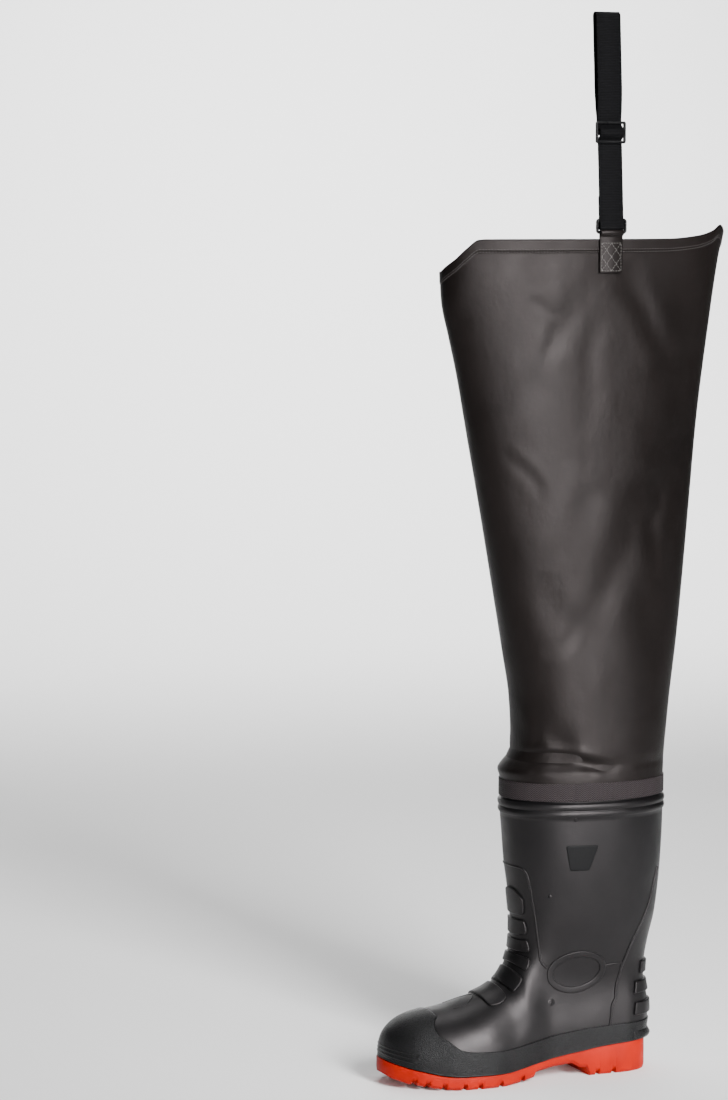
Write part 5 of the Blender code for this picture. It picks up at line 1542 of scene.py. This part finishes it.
def make_stage(sizes, colours):
    """The pale floor, the soft studio lights and the camera at the photograph's angle."""
    sweep = arc(FLOOR_BEND, FLOOR_RADIUS, FLOOR_RADIUS, -90.0, 0.0, 24)
    path = [(-FLOOR_REACH, 0.0)] + sweep + [(FLOOR_BEND + FLOOR_RADIUS, FLOOR_REACH)]
    places = np.linspace(-FLOOR_REACH, FLOOR_REACH, 9)
    rows = np.array([[(x, y, z) for x in places] for y, z in path])
    mesh = bpy.data.meshes.new("floor")
    count = rows.shape[1]
    faces = [(r * count + c, r * count + c + 1, (r + 1) * count + c + 1, (r + 1) * count + c)
             for r in range(len(rows) - 1) for c in range(count - 1)]
    mesh.from_pydata(rows.reshape(-1, 3).tolist(), [], faces)
    floor = linked("floor", mesh)
    floor.data.polygons.foreach_set("use_smooth", np.ones(len(mesh.polygons), bool))
    floor.data.materials.append(stage_finish(colours.floor))
    for light in LIGHTS:
        data = bpy.data.lights.new(light.name, "AREA")
        data.shape = "RECTANGLE"
        data.size = light.width
        data.size_y = light.height
        data.energy = light.power
        data.spread = math.radians(light.spread)
        lamp = linked(light.name, data)
        lamp.location = light.place
        aim = Vector(light.aim) - Vector(light.place)
        lamp.rotation_euler = aim.to_track_quat("-Z", "Y").to_euler()
    world = bpy.data.worlds.new("Studio")
    world.use_nodes = True
    background = world.node_tree.nodes["Background"].inputs
    background["Color"].default_value = (1.0, 1.0, 1.0, 1.0)
    background["Strength"].default_value = sizes.world_light
    bpy.context.scene.world = world
    data = bpy.data.cameras.new("Camera")
    data.lens = CAMERA_LENS
    data.sensor_width = 36.0
    camera = linked("Camera", data)
    turn, tilt = math.radians(CAMERA_TURN), math.radians(CAMERA_TILT)
    look = Vector((math.sin(turn) * math.cos(tilt), math.cos(turn) * math.cos(tilt), -math.sin(tilt)))
    camera.location = CAMERA_PLACE
    camera.rotation_euler = look.to_track_quat("-Z", "Y").to_euler()
    bpy.context.scene.camera = camera


def length_of(name, about, default):
    return FloatProperty(name=name, description=about, default=default, min=0.0, subtype="DISTANCE",
                         unit="LENGTH")


def colour_of(name, about, default):
    return FloatVectorProperty(name=name, description=about, default=default, size=3, min=0.0, max=1.0,
                               subtype="COLOR")


class WaderSizes(bpy.types.PropertyGroup):
    """Sizes that a user would change."""
    sole_round: length_of("Sole edges", "Rounding of the sole's moulded edges", 0.0007)
    rib_proud: length_of("Rib height", "How far the shin's ribs stand out", 0.0021)
    block_proud: length_of("Heel block height", "How far the heel's blocks stand out", 0.0026)
    plate_proud: length_of("Plate height", "How far the shaft's bare plate stands out", 0.0007)
    oval_proud: length_of("Oval height", "How far the ankle oval stands out", 0.0011)
    welt_width: length_of("Welt width", "Width of the thin welt above the sole", 0.0016)
    hem_seam: length_of("Hem seam", "From the rim down to the hem's upper stitches", 0.0100)
    stitch_pitch: length_of("Stitch pitch", "Length of a stitch and its gap", 0.0032)
    thread_width: length_of("Thread width", "Width of the sewing thread", 0.0006)
    tape_lap: length_of("Tape lap", "Length of the tape's overlapped end", 0.016)
    tape_end: FloatProperty(name="Tape end", description="Where round the leg the tape ends",
                            default=1.355, subtype="ANGLE", unit="ROTATION")
    world_light: FloatProperty(name="Room light", description="Strength of the soft light all round",
                               default=0.02, min=0.0)


class WaderColours(bpy.types.PropertyGroup):
    """Colours that a user would change."""
    boot: colour_of("Boot", "Moulded black PVC", (0.0015, 0.0015, 0.0017))
    sole: colour_of("Sole", "Red-orange moulded sole", (0.30, 0.006, 0.0005))
    cloth: colour_of("Leg cloth", "PVC-coated cloth", (0.0036, 0.0027, 0.0025))
    tape: colour_of("Tape", "Woven tape", (0.0034, 0.0026, 0.0028))
    webbing: colour_of("Webbing", "Belt webbing", (0.0012, 0.0012, 0.0015))
    hardware: colour_of("Ring and slider", "Gloss black plastic", (0.0015, 0.0015, 0.0018))
    thread: colour_of("Hem thread", "Thread of the hem's stitches", (0.045, 0.04, 0.038))
    tab_thread: colour_of("Tab thread", "Thread of the tab's stitches", (0.09, 0.085, 0.08))
    insole: colour_of("Insole", "Insole felt", (0.09, 0.09, 0.10))
    floor: colour_of("Floor", "Pale floor", (0.90, 0.90, 0.90))


class Maker:
    """Run an operator's makers, each with the scene's sizes and colours."""
    makers = ()

    def execute(self, context):
        for maker in self.makers:
            maker(context.scene.wader_sizes, context.scene.wader_colours)
        return {"FINISHED"}


class WADER_OT_stage(Maker, bpy.types.Operator):
    """Add the pale floor, the lights and the camera"""
    bl_idname = "wader.stage"
    bl_label = "Stage and camera"
    makers = (make_stage,)


class WADER_OT_sole(Maker, bpy.types.Operator):
    """Make the red sole and the loose insole"""
    bl_idname = "wader.sole"
    bl_label = "Sole and insole"
    makers = (make_outsole, make_insole)


class WADER_OT_boot(Maker, bpy.types.Operator):
    """Make the moulded boot with its toe cap and rand"""
    bl_idname = "wader.boot"
    bl_label = "Boot"
    makers = (make_boot, make_rand)


class WADER_OT_relief(Maker, bpy.types.Operator):
    """Make the ribs, blocks, ovals and moulded lines of the boot"""
    bl_idname = "wader.relief"
    bl_label = "Raised parts"
    makers = (make_ribs, make_heel_blocks, make_ankle_ovals, make_lines, make_plate, make_bumper)


class WADER_OT_leg(Maker, bpy.types.Operator):
    """Make the cloth leg with its folds, hem and tape"""
    bl_idname = "wader.leg"
    bl_label = "Leg and tape"
    makers = (make_leg, make_tape)


class WADER_OT_hanger(Maker, bpy.types.Operator):
    """Make the hanger tab, the ring, the slider and the belt strap"""
    bl_idname = "wader.hanger"
    bl_label = "Tab, ring, slider and strap"
    makers = (make_tab, make_ring, make_slider, make_strap)


class WADER_PT_panel(bpy.types.Panel):
    """List the wader's pieces, sizes and colours"""
    bl_label = "Hip wader"
    bl_idname = "WADER_PT_panel"
    bl_space_type = "VIEW_3D"
    bl_region_type = "UI"
    bl_category = "Wader"

    def draw(self, context):
        for operator in OPERATORS:
            self.layout.operator(operator.bl_idname)
        for settings in (context.scene.wader_sizes, context.scene.wader_colours):
            box = self.layout.box()
            for name in settings.__annotations__:
                box.prop(settings, name)


OPERATORS = (WADER_OT_stage, WADER_OT_sole, WADER_OT_boot, WADER_OT_relief, WADER_OT_leg,
             WADER_OT_hanger)
CLASSES = (WaderSizes, WaderColours) + OPERATORS + (WADER_PT_panel,)


def register():
    for cls in CLASSES:
        bpy.utils.register_class(cls)
    bpy.types.Scene.wader_sizes = PointerProperty(type=WaderSizes)
    bpy.types.Scene.wader_colours = PointerProperty(type=WaderColours)


def unregister():
    del bpy.types.Scene.wader_colours
    del bpy.types.Scene.wader_sizes
    for cls in reversed(CLASSES):
        bpy.utils.unregister_class(cls)


def main():
    register()
    bpy.ops.wader.stage()
    bpy.ops.wader.sole()
    bpy.ops.wader.boot()
    bpy.ops.wader.relief()
    bpy.ops.wader.leg()
    bpy.ops.wader.hanger()


if __name__ == "__main__":
    main()
